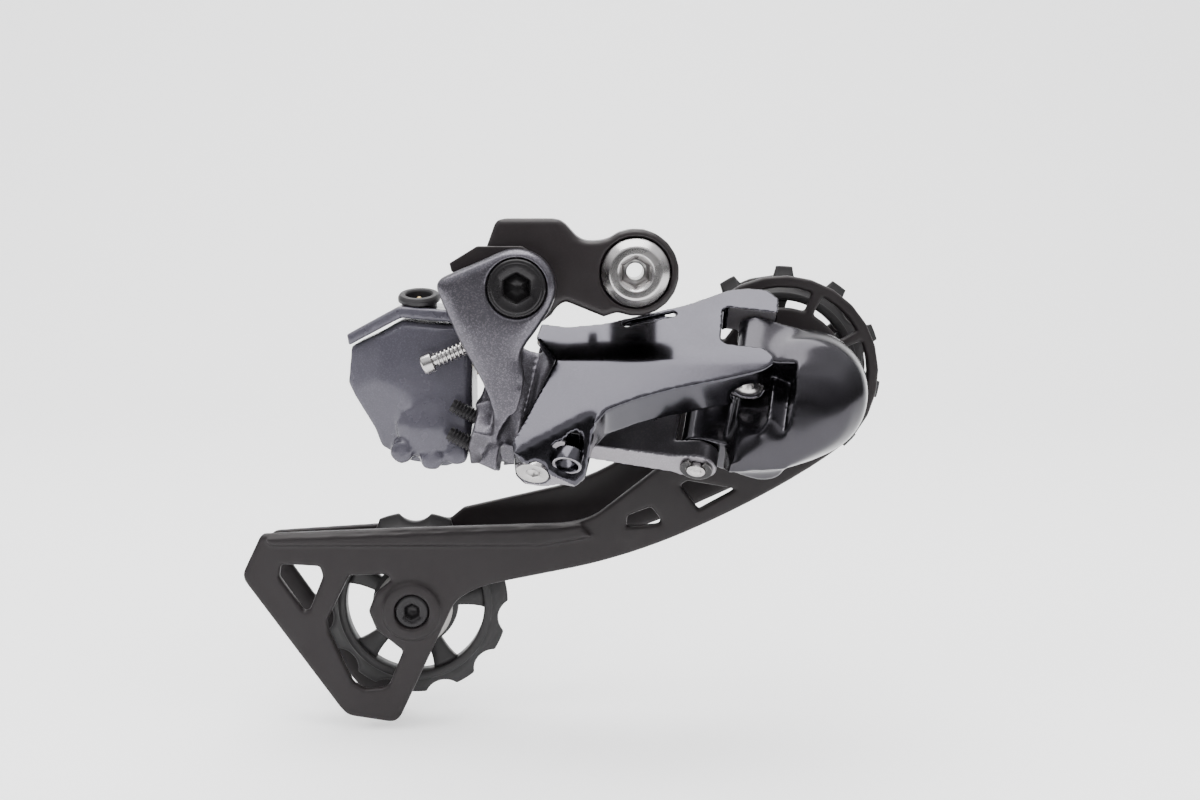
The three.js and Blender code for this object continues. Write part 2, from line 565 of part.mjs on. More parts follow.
// Room that the two links sweep, seen from the P-member.
function linkRoom() {
  const ears = rod(5.6, 10, OUTER_P_LOW[1] + RUN_GAP, BIG_ROUND, P1)
    .add(rod(7.2, OUTER_P_HIGH[0] - RUN_GAP, 60, BIG_ROUND, P1))
    .add(wedge(P1, 0, 9.6, -70, 26, 10, OUTER_P_LOW[1] + RUN_GAP))
    .add(wedge(P1, 0, 60, 142, 264, -10, 60))
    .add(rod(4.7, 5, INNER_LOW[1] + RUN_GAP, BIG_ROUND, P2))
    .add(rod(4.7, INNER_P_HIGH[0] - RUN_GAP, INNER_P_HIGH[1] + RUN_GAP, BIG_ROUND, P2))
    .add(wedge(P2, 4.6, 60, 130, 222, 8, INNER_P_HIGH[1] + RUN_GAP));
  return ears;
}

function pMember() {
  const tab = strap(P1, KNUCKLE_R + 0.1, [47, 3.4], 5, OUTER_P_LOW[1] + RUN_GAP, OUTER_P_HIGH[0] - RUN_GAP);
  const knuckle = strap(P2, 4.2, [43, 15], 5, INNER_LOW[1] + RUN_GAP, INNER_P_HIGH[0] - RUN_GAP)
    .subtract(wedge(P1, 0, 9, 90, 264, 0, OUTER_P_LOW[1] + RUN_GAP))
    .subtract(rod(5.2, 0, OUTER_P_LOW[1] + RUN_GAP, BIG_ROUND, P1));
  const groove = moved(wedge([P_AXIS[0], P_AXIS[1]], STOP_PIN_AT - STOP_PIN_R - 0.2, STOP_PIN_AT + STOP_PIN_R + 0.2,
    STOP_START - STOP_PIN_ARC, STOP_START + CAGE_SWING + STOP_PIN_ARC, -30, -STOP_GROOVE_FLOOR), sideways);
  let body = pMemberShell().subtract(byPins(linkRoom())).add(byPins(tab)).add(byPins(knuckle)).subtract(groove);
  body = body.intersect(box(-10, 80, -20, NOSE_BACK, -80, 20));
  body = body.subtract(sideRod(SPRING_ROOM_R, 7, 30, P_AXIS, BIG_ROUND));
  body = body.subtract(sideRod(P_AXLE_R + FIT_GAP, 1.5, 30, P_AXIS, ROUND));
  const bores = rod(PIN_R + FIT_GAP, 0, 60, ROUND, P1).add(rod(PIN_R + FIT_GAP, 0, 60, ROUND, P2));
  return largest(body.subtract(byPins(bores)));
}

function polar(at, r, degrees) {
  return [at[0] + r * Math.cos(rad(degrees)), at[1] + r * Math.sin(rad(degrees))];
}

function pAxle() {
  const end = PLATE_OUT + OUTER_PLATE_THICK - 0.2;
  return sideTurned([[0, 2], [P_AXLE_R - 0.4, 2], [P_AXLE_R, 2.4], [P_AXLE_R, NOSE_BACK - 0.6],
    [P_AXLE_R + 1.2, NOSE_BACK - 0.6], [P_AXLE_R + 1.2, PLATE_OUT - 0.15], [P_AXLE_R - 0.4, PLATE_OUT - 0.15],
    [P_AXLE_R - 0.4, end], [0, end]], P_AXIS, ROUND);
}

class Coil extends THREE.Curve {
  constructor(radius, turns, y0, y1) {
    super();
    Object.assign(this, { radius, turns, y0, y1 });
  }

  getPoint(t, target = new THREE.Vector3()) {
    const a = t * this.turns * 2 * Math.PI;
    return target.set(P_AXIS[0] + this.radius * Math.cos(a), this.y0 + (this.y1 - this.y0) * t,
      P_AXIS[1] + this.radius * Math.sin(a));
  }
}

function pSpring() {
  const wire = new THREE.Shape();
  wire.absarc(0, 0, SPRING_WIRE_R, 0, 2 * Math.PI, false);
  return solid(new THREE.ExtrudeGeometry(wire, {
    steps: 56,
    curveSegments: 4,
    extrudePath: new Coil(SPRING_ROOM_R - 2.2, SPRING_TURNS, 8.4, 16.6),
  }));
}

function springSeal() {
  const y0 = NOSE_BACK - 1.8;
  return sideTurned([[P_AXLE_R + 1.6, y0], [SPRING_ROOM_R - FIT_GAP, y0], [SPRING_ROOM_R - FIT_GAP, NOSE_BACK],
    [P_AXLE_R + 1.6, NOSE_BACK], [P_AXLE_R + 1.6, y0]], P_AXIS, BIG_ROUND);
}

function cageStopPin() {
  const at = polar(P_AXIS, STOP_PIN_AT, STOP_START);
  const end = STOP_GROOVE_FLOOR + 0.3;
  return sideTurned([[0, end], [STOP_PIN_R - 0.2, end], [STOP_PIN_R, end + 0.2],
    [STOP_PIN_R, PLATE_OUT - 0.1], [STOP_SPIGOT_R, PLATE_OUT - 0.1],
    [STOP_SPIGOT_R, PLATE_OUT + OUTER_PLATE_THICK - 0.3], [0, PLATE_OUT + OUTER_PLATE_THICK - 0.3]], at, 16);
}

// ---- cage plates ---------------------------------------------------------------------------
function outerPlateOutline() {
  const shape = new THREE.Shape();
  shape.moveTo(-84.6, -66.4);
  shape.lineTo(-80.9, -58.8);
  shape.quadraticCurveTo(-80.5, -58.1, -79.4, -58.1);
  shape.lineTo(-50.6, -56.9);
  shape.lineTo(-15.5, -55.8);
  shape.quadraticCurveTo(-10, -55.4, -6.8, -53.2);
  shape.lineTo(14, -37);
  shape.absarc(...GUIDE, RIM_R, rad(214), rad(-40), true);
  shape.bezierCurveTo(41, -43, 26, -51.6, 11.8, -57.8);
  shape.quadraticCurveTo(-2, -63.8, -15.5, -66.3);
  shape.lineTo(-27, -68.6);
  shape.quadraticCurveTo(-36.4, -70.4, -39, -74.2);
  shape.lineTo(-50.6, -98.8);
  shape.quadraticCurveTo(-51.6, -100.8, -53.4, -100.6);
  shape.lineTo(-61.6, -99.3);
  shape.quadraticCurveTo(-63, -99, -64.2, -97.4);
  shape.lineTo(-84.2, -69);
  shape.quadraticCurveTo(-85, -67.6, -84.6, -66.4);
  return shape;
}

function innerPlateOutline() {
  const shape = new THREE.Shape();
  shape.moveTo(-83.4, -66.8);
  shape.lineTo(-81.4, -61.6);
  shape.quadraticCurveTo(-81, -60.4, -79.6, -60.2);
  shape.lineTo(-55.4, -58.6);
  shape.lineTo(-52.8, -57);
  shape.quadraticCurveTo(-49, -61, -45, -57);
  shape.lineTo(-40.6, -57.4);
  shape.lineTo(-37.6, -54.9);
  shape.lineTo(-15.8, -49.9);
  shape.quadraticCurveTo(2, -44.6, 11.4, -31);
  shape.absarc(...GUIDE, RIM_R - 0.6, rad(196), rad(-44), true);
  shape.bezierCurveTo(38, -44, 24, -50, 11, -56);
  shape.quadraticCurveTo(-8, -64.4, -28, -67.6);
  shape.quadraticCurveTo(-37.6, -69.6, -40.6, -75);
  shape.lineTo(-51.6, -97.4);
  shape.quadraticCurveTo(-52.6, -99, -54.4, -98.9);
  shape.lineTo(-61, -98);
  shape.lineTo(-83, -69);
  shape.quadraticCurveTo(-83.8, -67.8, -83.4, -66.8);
  return shape;
}

function cageWindows() {
  const rearTriangle = [[-76.4, -64.9], [-68, -65.4], [-67.4, -67.6], [-70.4, -75], [-71.6, -75.4], [-76.9, -67.6]];
  const bigWindow = [[-66.2, -80.4], [-66.6, -77.4], [-61.6, -67.4], [-53.4, -67.2], [-52.4, -68.4], [-56, -71.4],
    [-57.6, -75.4], [-56, -79.6], [-50.2, -84.4], [-53.4, -92.2], [-54.6, -92.8], [-58.6, -93.2], [-61.2, -91.6]];
  const armWindow = [[-0.9, -54.2], [4.2, -52.2], [6.4, -55], [6, -55.9], [-1, -56.6]];
  const neckWindow = [[10.6, -47.4], [12, -46.4], [22.6, -48.2], [14.6, -52.6]];
  return [rearTriangle, bigWindow, armWindow, neckWindow];
}

// Curved slots around the guide pulley, between two radii.
function rimSlots(rIn, rOut, spans) {
  return spans.map(([a0, a1]) => [...arcPoints(GUIDE, rOut, a0, a1), ...arcPoints(GUIDE, rIn, a1, a0)]);
}

function boltHole(body, at, r = PULLEY_BOLT_R + FIT_GAP) {
  return body.subtract(sideRod(r, 0, 60, at));
}

function cageOuterPlate() {
  const y0 = PLATE_OUT;
  const y1 = y0 + OUTER_PLATE_THICK;
  const holes = [...cageWindows(), ...rimSlots(14.2, 18.4, [[-8, 22], [30, 62], [70, 104], [112, 150]])];
  let body = sidePrism(outerPlateOutline(), y0, y1, { bevel: 0.4, segments: 9, holes });
  body = body.add(sideTurned([[0, y0 - 0.7], [6.2, y0 - 0.7], [6.4, y0 - 0.5], [6.4, y0 + 0.5], [0, y0 + 0.5]],
    TENSION, BIG_ROUND));
  // The arm is stiffened by a raised back edge below its top line.
  const rib = sidePrism([[-79.6, -58.9], [-15.6, -56.6], [-11, -55.9], [-8.6, -58.6], [-20, -60.6], [-78.4, -60.6]],
    y0 - 0.8, y0 + 0.5, { bevel: 0.3 });
  body = body.add(rib);
  for (const at of [GUIDE, TENSION]) {
    body = boltHole(body, at);
  }
  for (const at of [GUIDE, TENSION]) {
    body = body.subtract(sideRod(BOLT_SEAT_R, y0 - 3, y0 + 0.5, at));
  }
  body = boltHole(body, P_AXIS, P_AXLE_R - 0.4 + FIT_GAP);
  return boltHole(body, polar(P_AXIS, STOP_PIN_AT, STOP_START), STOP_SPIGOT_R + FIT_GAP);
}

function cageInnerPlate() {
  const y0 = PLATE_IN;
  const [rearTriangle, bigWindow] = cageWindows();
  const holes = [rearTriangle, bigWindow, ...rimSlots(9.6, 17.6, [[-40, 24], [38, 92], [106, 160], [196, 250]])];
  let body = sidePrism(innerPlateOutline(), y0, y0 + INNER_PLATE_THICK, { bevel: 0.3, segments: 8, holes });
  for (const at of [GUIDE, TENSION]) {
    body = boltHole(body, at);
  }
  return body;
}

// ---- pulleys -------------------------------------------------------------------------------
// Teeth with flat tips of the width asked for, and a round seat for a chain roller between each two.
function toothOutline(tipR, land, phase) {
  const pitchR = CHAIN_PITCH / (2 * Math.sin(Math.PI / TEETH));
  const seatR = Math.min(ROLLER_SEAT_R, pitchR * Math.sin(Math.PI / TEETH) - land / 2);
  const centreR = pitchR - 3.95 + seatR;
  const step = 360 / TEETH;
  const points = [];
  for (let i = 0; i < TEETH; i += 1) {
    const tooth = phase + i * step;
    const halfLand = THREE.MathUtils.radToDeg(land / 2 / tipR);
    points.push(polar([0, 0], tipR, tooth - halfLand), polar([0, 0], tipR, tooth + halfLand));
    const valley = tooth + step / 2;
    const seat = polar([0, 0], centreR, valley);
    const reach = THREE.MathUtils.radToDeg(Math.acos((centreR - pitchR + 3) / seatR));
    points.push(...arcPoints(seat, seatR, valley + 180 + Math.min(reach, 62), valley + 180 - Math.min(reach, 62)));
  }
  return points;
}

function pulleyWindows(count, phase) {
  return Array.from({ length: count }, (_, i) => {
    const a0 = phase + (i * 360) / count + 9;
    const a1 = phase + ((i + 1) * 360) / count - 9;
    return [...arcPoints([0, 0], 15.4, a0, a1), ...arcPoints([0, 0], 9.6, a1, a0)];
  });
}

function pulley(at, tipR, land, phase, windowPhase) {
  const half = PULLEY_THICK / 2;
  let body = prism(toothOutline(tipR, land, phase), -half, half, { holes: pulleyWindows(5, windowPhase) });
  const hub = turned([[0, -3.6], [7.6, -3.6], [8, -3.2], [8, 3.2], [7.6, 3.6], [0, 3.6]], BIG_ROUND);
  const ring = turned([[15.6, -2.1], [17.2, -2.1], [17.2, 2.1], [15.6, 2.1], [15.6, -2.1]], 33);
  body = body.add(hub).add(ring).subtract(rod(PULLEY_BUSH_R + FIT_GAP, -9, 9, ROUND));
  return moved(body, sideways).translate([at[0], PULLEY_Y, at[1]]);
}

function pulleyBush(at) {
  const half = CAGE_GAP / 2 - 0.2;
  const inner = PULLEY_BOLT_R + FIT_GAP;
  return sideTurned([[inner, PULLEY_Y - half], [PULLEY_BUSH_R, PULLEY_Y - half], [PULLEY_BUSH_R, PULLEY_Y + half],
    [inner, PULLEY_Y + half], [inner, PULLEY_Y - half]], at, ROUND);
}

function pulleyCap(at, side) {
  const inner = PULLEY_BUSH_R + FIT_GAP;
  const near = PULLEY_Y + side * 3.85;
  const far = PULLEY_Y + side * (CAGE_GAP / 2 - 0.2);
  const profile = [[inner, near], [8.6, near], [8.6, near + side * 0.7], [6.8, far], [inner, far], [inner, near]];
  return sideTurned(side > 0 ? profile : profile.reverse(), at, 20);
}

function pulleyBolt(at, headDepth) {
  const y0 = PLATE_OUT - headDepth;
  const end = PLATE_IN + INNER_PLATE_THICK + 0.6;
  const body = sideTurned([[0, y0], [BOLT_SEAT_R - 0.5, y0], [BOLT_SEAT_R - 0.2, y0 + 0.3],
    [BOLT_SEAT_R - 0.2, PLATE_OUT + 0.4], [PULLEY_BOLT_R, PLATE_OUT + 0.4],
    [PULLEY_BOLT_R, end - 0.4], [PULLEY_BOLT_R - 0.4, end], [0, end]], at, ROUND);
  return body.subtract(sideHex(1.75, y0 - 1, y0 + 2, at));
}

// ---- motor unit ----------------------------------------------------------------------------
function caseOutline(inset) {
  const k = inset;
  return [[-56.6 + k, -15], [-57.4 + k, -22.4], [-52.4 + k, -32], [-51.4 + k, -35.6 + k], [-46.4, -38.6 + k],
    [-38, -39.6 + k], [-33.6 - k, -37.4 + k], [-32.4 - k, -31], [-32.4 - k, -10.6 - k], [-38, -10.4 - k],
    [-46.2, -9.6 - k], [-51.4 + k, -12.6 - k]];
}

function motorCase() {
  let body = sidePrism(caseOutline(0), CASE_FRONT, CASE_BACK, { bevel: 1.2 });
  let hollow = sidePrism(caseOutline(CASE_WALL + 1), CASE_FRONT + CASE_WALL + 0.8, CASE_BACK + 4);
  // Big flats cut across the outboard corners, with the wall kept behind them.
  const flats = [
    halfSpace([-57.5, 0.4, -14], [-57.8, 0.4, -22], [-49, CASE_FRONT - 0.2, -12], [-40, 5, -20]),
    halfSpace([-56, 0, -26], [-40, 1.4, -40], [-48.4, CASE_FRONT, -24], [-40, 5, -20]),
  ];
  for (const flat of flats) {
    body = body.intersect(flat);
    hollow = hollow.intersect(flat.translate([CASE_WALL * 0.7, CASE_WALL * 1.2, CASE_WALL * 0.3]));
  }
  const dome = sideTurned([[0, CASE_FRONT - 1.2], [4.2, CASE_FRONT - 0.6], [6.6, CASE_FRONT + 1.4], [7.2, 2], [0, 2]],
    [-41, -31], 24);
  body = body.add(dome);
  for (const at of [[-46.6, -36], [-40.6, -37.4], [-35.6, -36.4]]) {
    body = body.add(sideTurned([[0, CASE_FRONT - 0.4], [1.9, CASE_FRONT - 0.4], [2.5, CASE_FRONT + 0.3], [2.5, 4],
      [0, 4]], at, 14));
  }
  body = body.subtract(hollow);
  for (const at of coverScrewPlaces()) {
    body = body.add(sideRod(2.4, CASE_BACK - 7, CASE_BACK, at, 14));
    body = body.subtract(sideRod(1.1, CASE_BACK - 5.6, CASE_BACK + 1, at, 14));
  }
  // Way through the forward wall for the toothed sector.
  return largest(body.subtract(byPins(rod(10.2, SECTOR_Z - 0.6, SECTOR_Z + 2.6, BIG_ROUND, B2))));
}

function coverScrewPlaces() {
  return [[-52.6, -18.4], [-47, -33.4], [-36.4, -13.8]];
}

function motorCover() {
  const y0 = CASE_BACK + SEAT_GAP;
  let body = sidePrism(caseOutline(0.2), y0, y0 + 1.8, { bevel: 0.5 });
  for (const at of coverScrewPlaces()) {
    body = body.subtract(sideRod(1.1, 0, 60, at, 14));
    body = body.subtract(sideRod(2.1, y0 + 0.8, 60, at, 16));
  }
  return body;
}

function coverScrew(at) {
  const y1 = CASE_BACK + SEAT_GAP + 1.8;
  const body = sideTurned([[0, CASE_BACK - 4.6], [0.95, CASE_BACK - 4.6], [0.95, y1 - 0.85], [1.9, y1 - 0.85],
    [1.9, y1 + 0.5], [0, y1 + 0.5]], at, 14);
  return body.subtract(sideHex(0.8, y1 - 0.4, y1 + 2, at));
}

// The flat lid over the unit's top, with the collar that the cable plugs into.
function topLid() {
  const outline = [[-57, -12.4], [-46.6, -6.8], [-38.4, -7.4], [-33, -8.2], [-33, -10.2], [-38.2, -9.9],
    [-46.2, -9.1], [-56.6, -14.6]];
  const up = sidePrism(outline, CASE_FRONT - 0.6, CASE_BACK - 0.6, { bevel: 0.4 });
  return up.subtract(portPlace(rod(3.6, -6, 9, 24)));
}

function portPlace(body) {
  const matrix = new THREE.Matrix4().makeTranslation(-43, 1.6, -8.4)
    .multiply(new THREE.Matrix4().makeRotationX(rad(14)));
  return moved(body, matrix);
}

function connectorPort() {
  return portPlace(turned([[0, 0.8], [3.5, 0.8], [3.5, 2.3], [4.2, 2.6], [4.2, 3.4], [3.8, 4], [2.9, 4], [2.6, 3.6],
    [2.6, 1.6], [0, 1.6]], 28));
}

function portContact() {
  return portPlace(turned([[0, 1.7], [0.6, 1.7], [0.6, 3], [0.3, 3.3], [0, 3.3]], 12));
}

function motorCan() {
  const at = motorPlace();
  return moved(turned([[0, -9], [2, -9], [2, -8], [MOTOR_R - 0.6, -8], [MOTOR_R, -7.4], [MOTOR_R, 5.4],
    [MOTOR_R - 0.6, 6], [2, 6], [2, 7], [0, 7]], 28), at);
}

function motorPlace() {
  return new THREE.Matrix4().makeTranslation(-43.6, 6.4, -22.2)
    .multiply(new THREE.Matrix4().makeRotationX(-rad(18)));
}

function gearOutline(teeth, at, phase, a0 = 0, count = teeth) {
  const pitchR = (GEAR_MODULE * teeth) / 2;
  const step = 360 / teeth;
  const points = [];
  for (let i = 0; i < count; i += 1) {
    const mid = a0 + phase + i * step;
    const tip = pitchR + GEAR_MODULE * 0.75;
    const root = pitchR - GEAR_MODULE * 1.15;
    points.push(polar(at, root, mid - step * 0.36), polar(at, pitchR, mid - step * 0.19));
    points.push(polar(at, tip, mid - step * 0.08), polar(at, tip, mid + step * 0.08));
    points.push(polar(at, pitchR, mid + step * 0.19), polar(at, root, mid + step * 0.36));
  }
  return points;
}

function driveSector() {
  const step = 360 / SECTOR_TEETH;
  const first = 180 - 3 * step;
  const teeth = gearOutline(SECTOR_TEETH, B2, 0, first, 7);
  const hub = polar(B2, 3.6, -90);
  const outline = [...teeth, hub, polar(B2, 3.6, -45), polar(B2, 3.6, 0), polar(B2, 3.6, 45), polar(B2, 3.6, 90)];
  let body = prism(outline, SECTOR_Z, SECTOR_Z + SECTOR_THICK);
  body = body.subtract(rod(PIN_R + FIT_GAP, 0, 60, ROUND, B2));
  return byPins(body);
}

function drivePinion() {
  let body = prism(gearOutline(PINION_TEETH, PINION, 180 / PINION_TEETH), SECTOR_Z, SECTOR_Z + SECTOR_THICK);
  body = body.add(rod(1.2, SECTOR_Z - 3, SECTOR_Z + 3.4, 16, PINION));
  return byPins(body);
}

function controlBoard() {
  return sidePrism([[-46.4, -31.7], [-45.6, -34.2], [-38.4, -35.4], [-37.4, -34.6], [-37.4, -31.7]],
    4.2, 5.4, { bevel: 0.1 });
}

// ---- assembly ------------------------------------------------------------------------------
const FINISHES = {
  satinBlack: { color: 0x232224, roughness: 0.45, metalness: 0.3 },
  satinGrey: { color: 0x77777f, roughness: 0.35, metalness: 0.7 },
  glossGrey: { color: 0x4b4a55, roughness: 0.12, metalness: 0.8 },
  steel: { color: 0xb9b5b0, roughness: 0.25, metalness: 1 },
  blackSteel: { color: 0x1c1b1d, roughness: 0.4, metalness: 0.8 },
  plastic: { color: 0x8b8996, roughness: 0.35, metalness: 0.1 },
  darkPlastic: { color: 0x2a2628, roughness: 0.5, metalness: 0 },
  brass: { color: 0xb08d4a, roughness: 0.3, metalness: 1 },
  board: { color: 0x1d5136, roughness: 0.6, metalness: 0 },
};

function pieces() {
  const list = {
    bracket_link: [bracketLink(), 'satinBlack'],
    fixing_bolt: [fixingBolt(), 'steel'],
    b_axle_bolt: [bAxleBolt(), 'blackSteel'],
    b_axle_bush: [bAxleBush(), 'brass'],
    stop_plate: [stopPlate(), 'blackSteel'],
    b_member: [bMember(), 'satinGrey'],
    b_tension_screw: [bTensionScrew(), 'steel'],
    limit_screw_upper: [limitScrew(LIMIT_HEADS[0]), 'blackSteel'],
    limit_screw_lower: [limitScrew(LIMIT_HEADS[1]), 'blackSteel'],
    outer_link: [outerLink(), 'glossGrey'],
    inner_link: [innerLink(), 'satinBlack'],
    pin_outer_b: [linkPin(B1, OUTER_B_LOW[0] + 0.1, OUTER_B_HIGH[1] - 0.2, 0.8, false), 'steel'],
    pin_outer_p: [linkPin(P1, OUTER_P_LOW[0] + 0.4, OUTER_P_HIGH[1] - 0.6, 1.1, true), 'brass'],
    pin_inner_b: [linkPin(B2, INNER_LOW[0] + 0.2, SECTOR_Z + SECTOR_THICK + 1, 0, false), 'steel'],
    pin_inner_p: [linkPin(P2, INNER_LOW[0] - 1, INNER_P_HIGH[1] - 0.2, 0, false), 'steel'],
    pin_snap_ring: [snapRing(P2, INNER_LOW[0] - 0.7), 'steel'],
    p_member: [pMember(), 'glossGrey'],
    p_axle: [pAxle(), 'steel'],
    p_spring: [pSpring(), 'steel'],
    spring_seal: [springSeal(), 'darkPlastic'],
    cage_stop_pin: [cageStopPin(), 'steel'],
    cage_outer_plate: [cageOuterPlate(), 'satinBlack'],
    cage_inner_plate: [cageInnerPlate(), 'satinBlack'],
    guide_pulley: [pulley(GUIDE, GUIDE_TIP_R, 2.6, GUIDE_PHASE, 10), 'darkPlastic'],
    tension_pulley: [pulley(TENSION, TENSION_TIP_R, 3.1, TENSION_PHASE, 30), 'darkPlastic'],
    guide_bush: [pulleyBush(GUIDE), 'steel'],
    tension_bush: [pulleyBush(TENSION), 'steel'],
    guide_bolt: [pulleyBolt(GUIDE, 0), 'blackSteel'],
    tension_bolt: [pulleyBolt(TENSION, 0.4), 'blackSteel'],
    motor_case: [motorCase(), 'plastic'],
    motor_cover: [motorCover(), 'plastic'],
    top_lid: [topLid(), 'plastic'],
    connector_port: [connectorPort(), 'darkPlastic'],
    port_contact: [portContact(), 'brass'],
    motor_can: [motorCan(), 'steel'],
    drive_sector: [driveSector(), 'steel'],
    drive_pinion: [drivePinion(), 'brass'],
    control_board: [controlBoard(), 'board'],
  };
  for (const [name, at] of [['guide', GUIDE], ['tension', TENSION]]) {
    list[`${name}_cap_outer`] = [pulleyCap(at, -1), 'darkPlastic'];
    list[`${name}_cap_inner`] = [pulleyCap(at, 1), 'darkPlastic'];
  }
  coverScrewPlaces().forEach((at, i) => {
    list[`cover_screw_${i + 1}`] = [coverScrew(at), 'steel'];
  });
  return list;
}

function meshOf(name, body, finish) {
  const data = body.getMesh();
  const geometry = new THREE.BufferGeometry();
  geometry.setAttribute('position', new THREE.BufferAttribute(new Float32Array(data.vertProperties), 3));
  geometry.setIndex(new THREE.BufferAttribute(new Uint32Array(data.triVerts), 1));
  geometry.computeVertexNormals();
  const mesh = new THREE.Mesh(geometry, new THREE.MeshStandardMaterial({ name: finish, ...FINISHES[finish] }));
  mesh.name = name;
  return mesh;
}

const derailleur = new THREE.Group();
derailleur.name = 'rear_derailleur';
for (const [name, [body, finish]] of Object.entries(pieces())) {
  derailleur.add(meshOf(name, body, finish));
}
export default derailleur;
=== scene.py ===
import json
import math

import bmesh
import bpy
import numpy as np
from mathutils import Matrix, Vector

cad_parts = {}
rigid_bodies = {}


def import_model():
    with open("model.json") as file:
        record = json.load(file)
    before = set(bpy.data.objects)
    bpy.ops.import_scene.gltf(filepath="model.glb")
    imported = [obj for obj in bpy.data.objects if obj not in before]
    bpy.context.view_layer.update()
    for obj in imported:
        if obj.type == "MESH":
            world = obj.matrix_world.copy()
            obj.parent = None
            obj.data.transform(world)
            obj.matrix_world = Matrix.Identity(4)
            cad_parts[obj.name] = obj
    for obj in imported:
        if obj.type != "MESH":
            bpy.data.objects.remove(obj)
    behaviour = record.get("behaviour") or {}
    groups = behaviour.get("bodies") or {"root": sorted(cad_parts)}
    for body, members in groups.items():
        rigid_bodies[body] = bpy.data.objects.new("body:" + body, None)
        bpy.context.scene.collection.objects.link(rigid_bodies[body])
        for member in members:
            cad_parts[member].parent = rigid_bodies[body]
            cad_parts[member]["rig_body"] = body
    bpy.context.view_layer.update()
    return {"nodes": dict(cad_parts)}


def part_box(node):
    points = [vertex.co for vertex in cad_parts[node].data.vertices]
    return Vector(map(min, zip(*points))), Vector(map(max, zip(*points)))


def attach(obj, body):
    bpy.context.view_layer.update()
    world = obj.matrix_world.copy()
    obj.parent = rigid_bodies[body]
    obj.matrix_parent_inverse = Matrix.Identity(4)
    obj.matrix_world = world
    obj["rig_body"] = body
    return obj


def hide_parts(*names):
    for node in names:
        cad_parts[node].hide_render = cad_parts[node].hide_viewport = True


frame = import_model()
mm = 0.001
print("frame loaded")


# shader groups

def addNode(tree, kind, at=(0, 0), **settings):
    node = tree.nodes.new(kind)
    node.location = at
    for key, value in settings.items():
        setattr(node, key, value)
    return node


def newShaderGroup(name, inputs, outputs):
    group = bpy.data.node_groups.new(name, "ShaderNodeTree")
    for label, kind, value in inputs:
        socket = group.interface.new_socket(label, in_out="INPUT", socket_type=kind)
        if value is not None:
            socket.default_value = value
    for label, kind in outputs:
        group.interface.new_socket(label, in_out="OUTPUT", socket_type=kind)
    return group, addNode(group, "NodeGroupInput", (-800, 0)), addNode(group, "NodeGroupOutput", (600, 0))


floatSocket = "NodeSocketFloat"
vectorSocket = "NodeSocketVector"


def makeGrainGroup():
    # fine tooth of the finish, with slow cloudiness under it
    group, start, end = newShaderGroup("surfaceGrain", [
        ("Vector", vectorSocket, None), ("Fine Scale", floatSocket, 2600.0),
        ("Cloud Scale", floatSocket, 90.0), ("Cloud Share", floatSocket, 0.3),
    ], [("Tone", floatSocket), ("Height", floatSocket)])
    fine = addNode(group, "ShaderNodeTexNoise", (-500, 200))
    fine.inputs["Detail"].default_value = 3
    cloud = addNode(group, "ShaderNodeTexNoise", (-500, -100))
    cloud.inputs["Detail"].default_value = 5
    cloud.inputs["Roughness"].default_value = 0.6
    mix = addNode(group, "ShaderNodeMix", (-100, 0), data_type="FLOAT")
    group.links.new(start.outputs["Vector"], fine.inputs["Vector"])
    group.links.new(start.outputs["Vector"], cloud.inputs["Vector"])
    group.links.new(start.outputs["Fine Scale"], fine.inputs["Scale"])
    group.links.new(start.outputs["Cloud Scale"], cloud.inputs["Scale"])
    group.links.new(start.outputs["Cloud Share"], mix.inputs["Factor"])
    group.links.new(fine.outputs["Fac"], mix.inputs["A"])
    group.links.new(cloud.outputs["Fac"], mix.inputs["B"])
    group.links.new(cloud.outputs["Fac"], end.inputs["Tone"])
    group.links.new(mix.outputs["Result"], end.inputs["Height"])
    return group


def makeWearGroup():
    # bare metal or pale rubbing where an edge stands out, broken up by noise
    group, start, end = newShaderGroup("edgeWear", [
        ("Vector", vectorSocket, None), ("Edge", floatSocket, 0.0),
        ("Amount", floatSocket, 0.5), ("Breakup", floatSocket, 420.0),
    ], [("Mask", floatSocket)])
    breakup = addNode(group, "ShaderNodeTexNoise", (-500, -100))
    breakup.inputs["Detail"].default_value = 6
    breakup.inputs["Roughness"].default_value = 0.7
    spread = addNode(group, "ShaderNodeMapRange", (-300, -100))
    spread.inputs["From Min"].default_value = 0.35
    spread.inputs["From Max"].default_value = 0.7
    sharpen = addNode(group, "ShaderNodeMapRange", (-300, 150), interpolation_type="SMOOTHSTEP")
    sharpen.inputs["From Min"].default_value = 0.35
    sharpen.inputs["From Max"].default_value = 0.95
    both = addNode(group, "ShaderNodeMath", (0, 0), operation="MULTIPLY")
    scaled = addNode(group, "ShaderNodeMath", (200, 0), operation="MULTIPLY", use_clamp=True)
    group.links.new(start.outputs["Vector"], breakup.inputs["Vector"])
    group.links.new(start.outputs["Breakup"], breakup.inputs["Scale"])
    group.links.new(breakup.outputs["Fac"], spread.inputs["Value"])
    group.links.new(start.outputs["Edge"], sharpen.inputs["Value"])
    group.links.new(spread.outputs["Result"], both.inputs[0])
    group.links.new(sharpen.outputs["Result"], both.inputs[1])
    group.links.new(both.outputs[0], scaled.inputs[0])
    group.links.new(start.outputs["Amount"], scaled.inputs[1])
    group.links.new(scaled.outputs[0], end.inputs["Mask"])
    return group


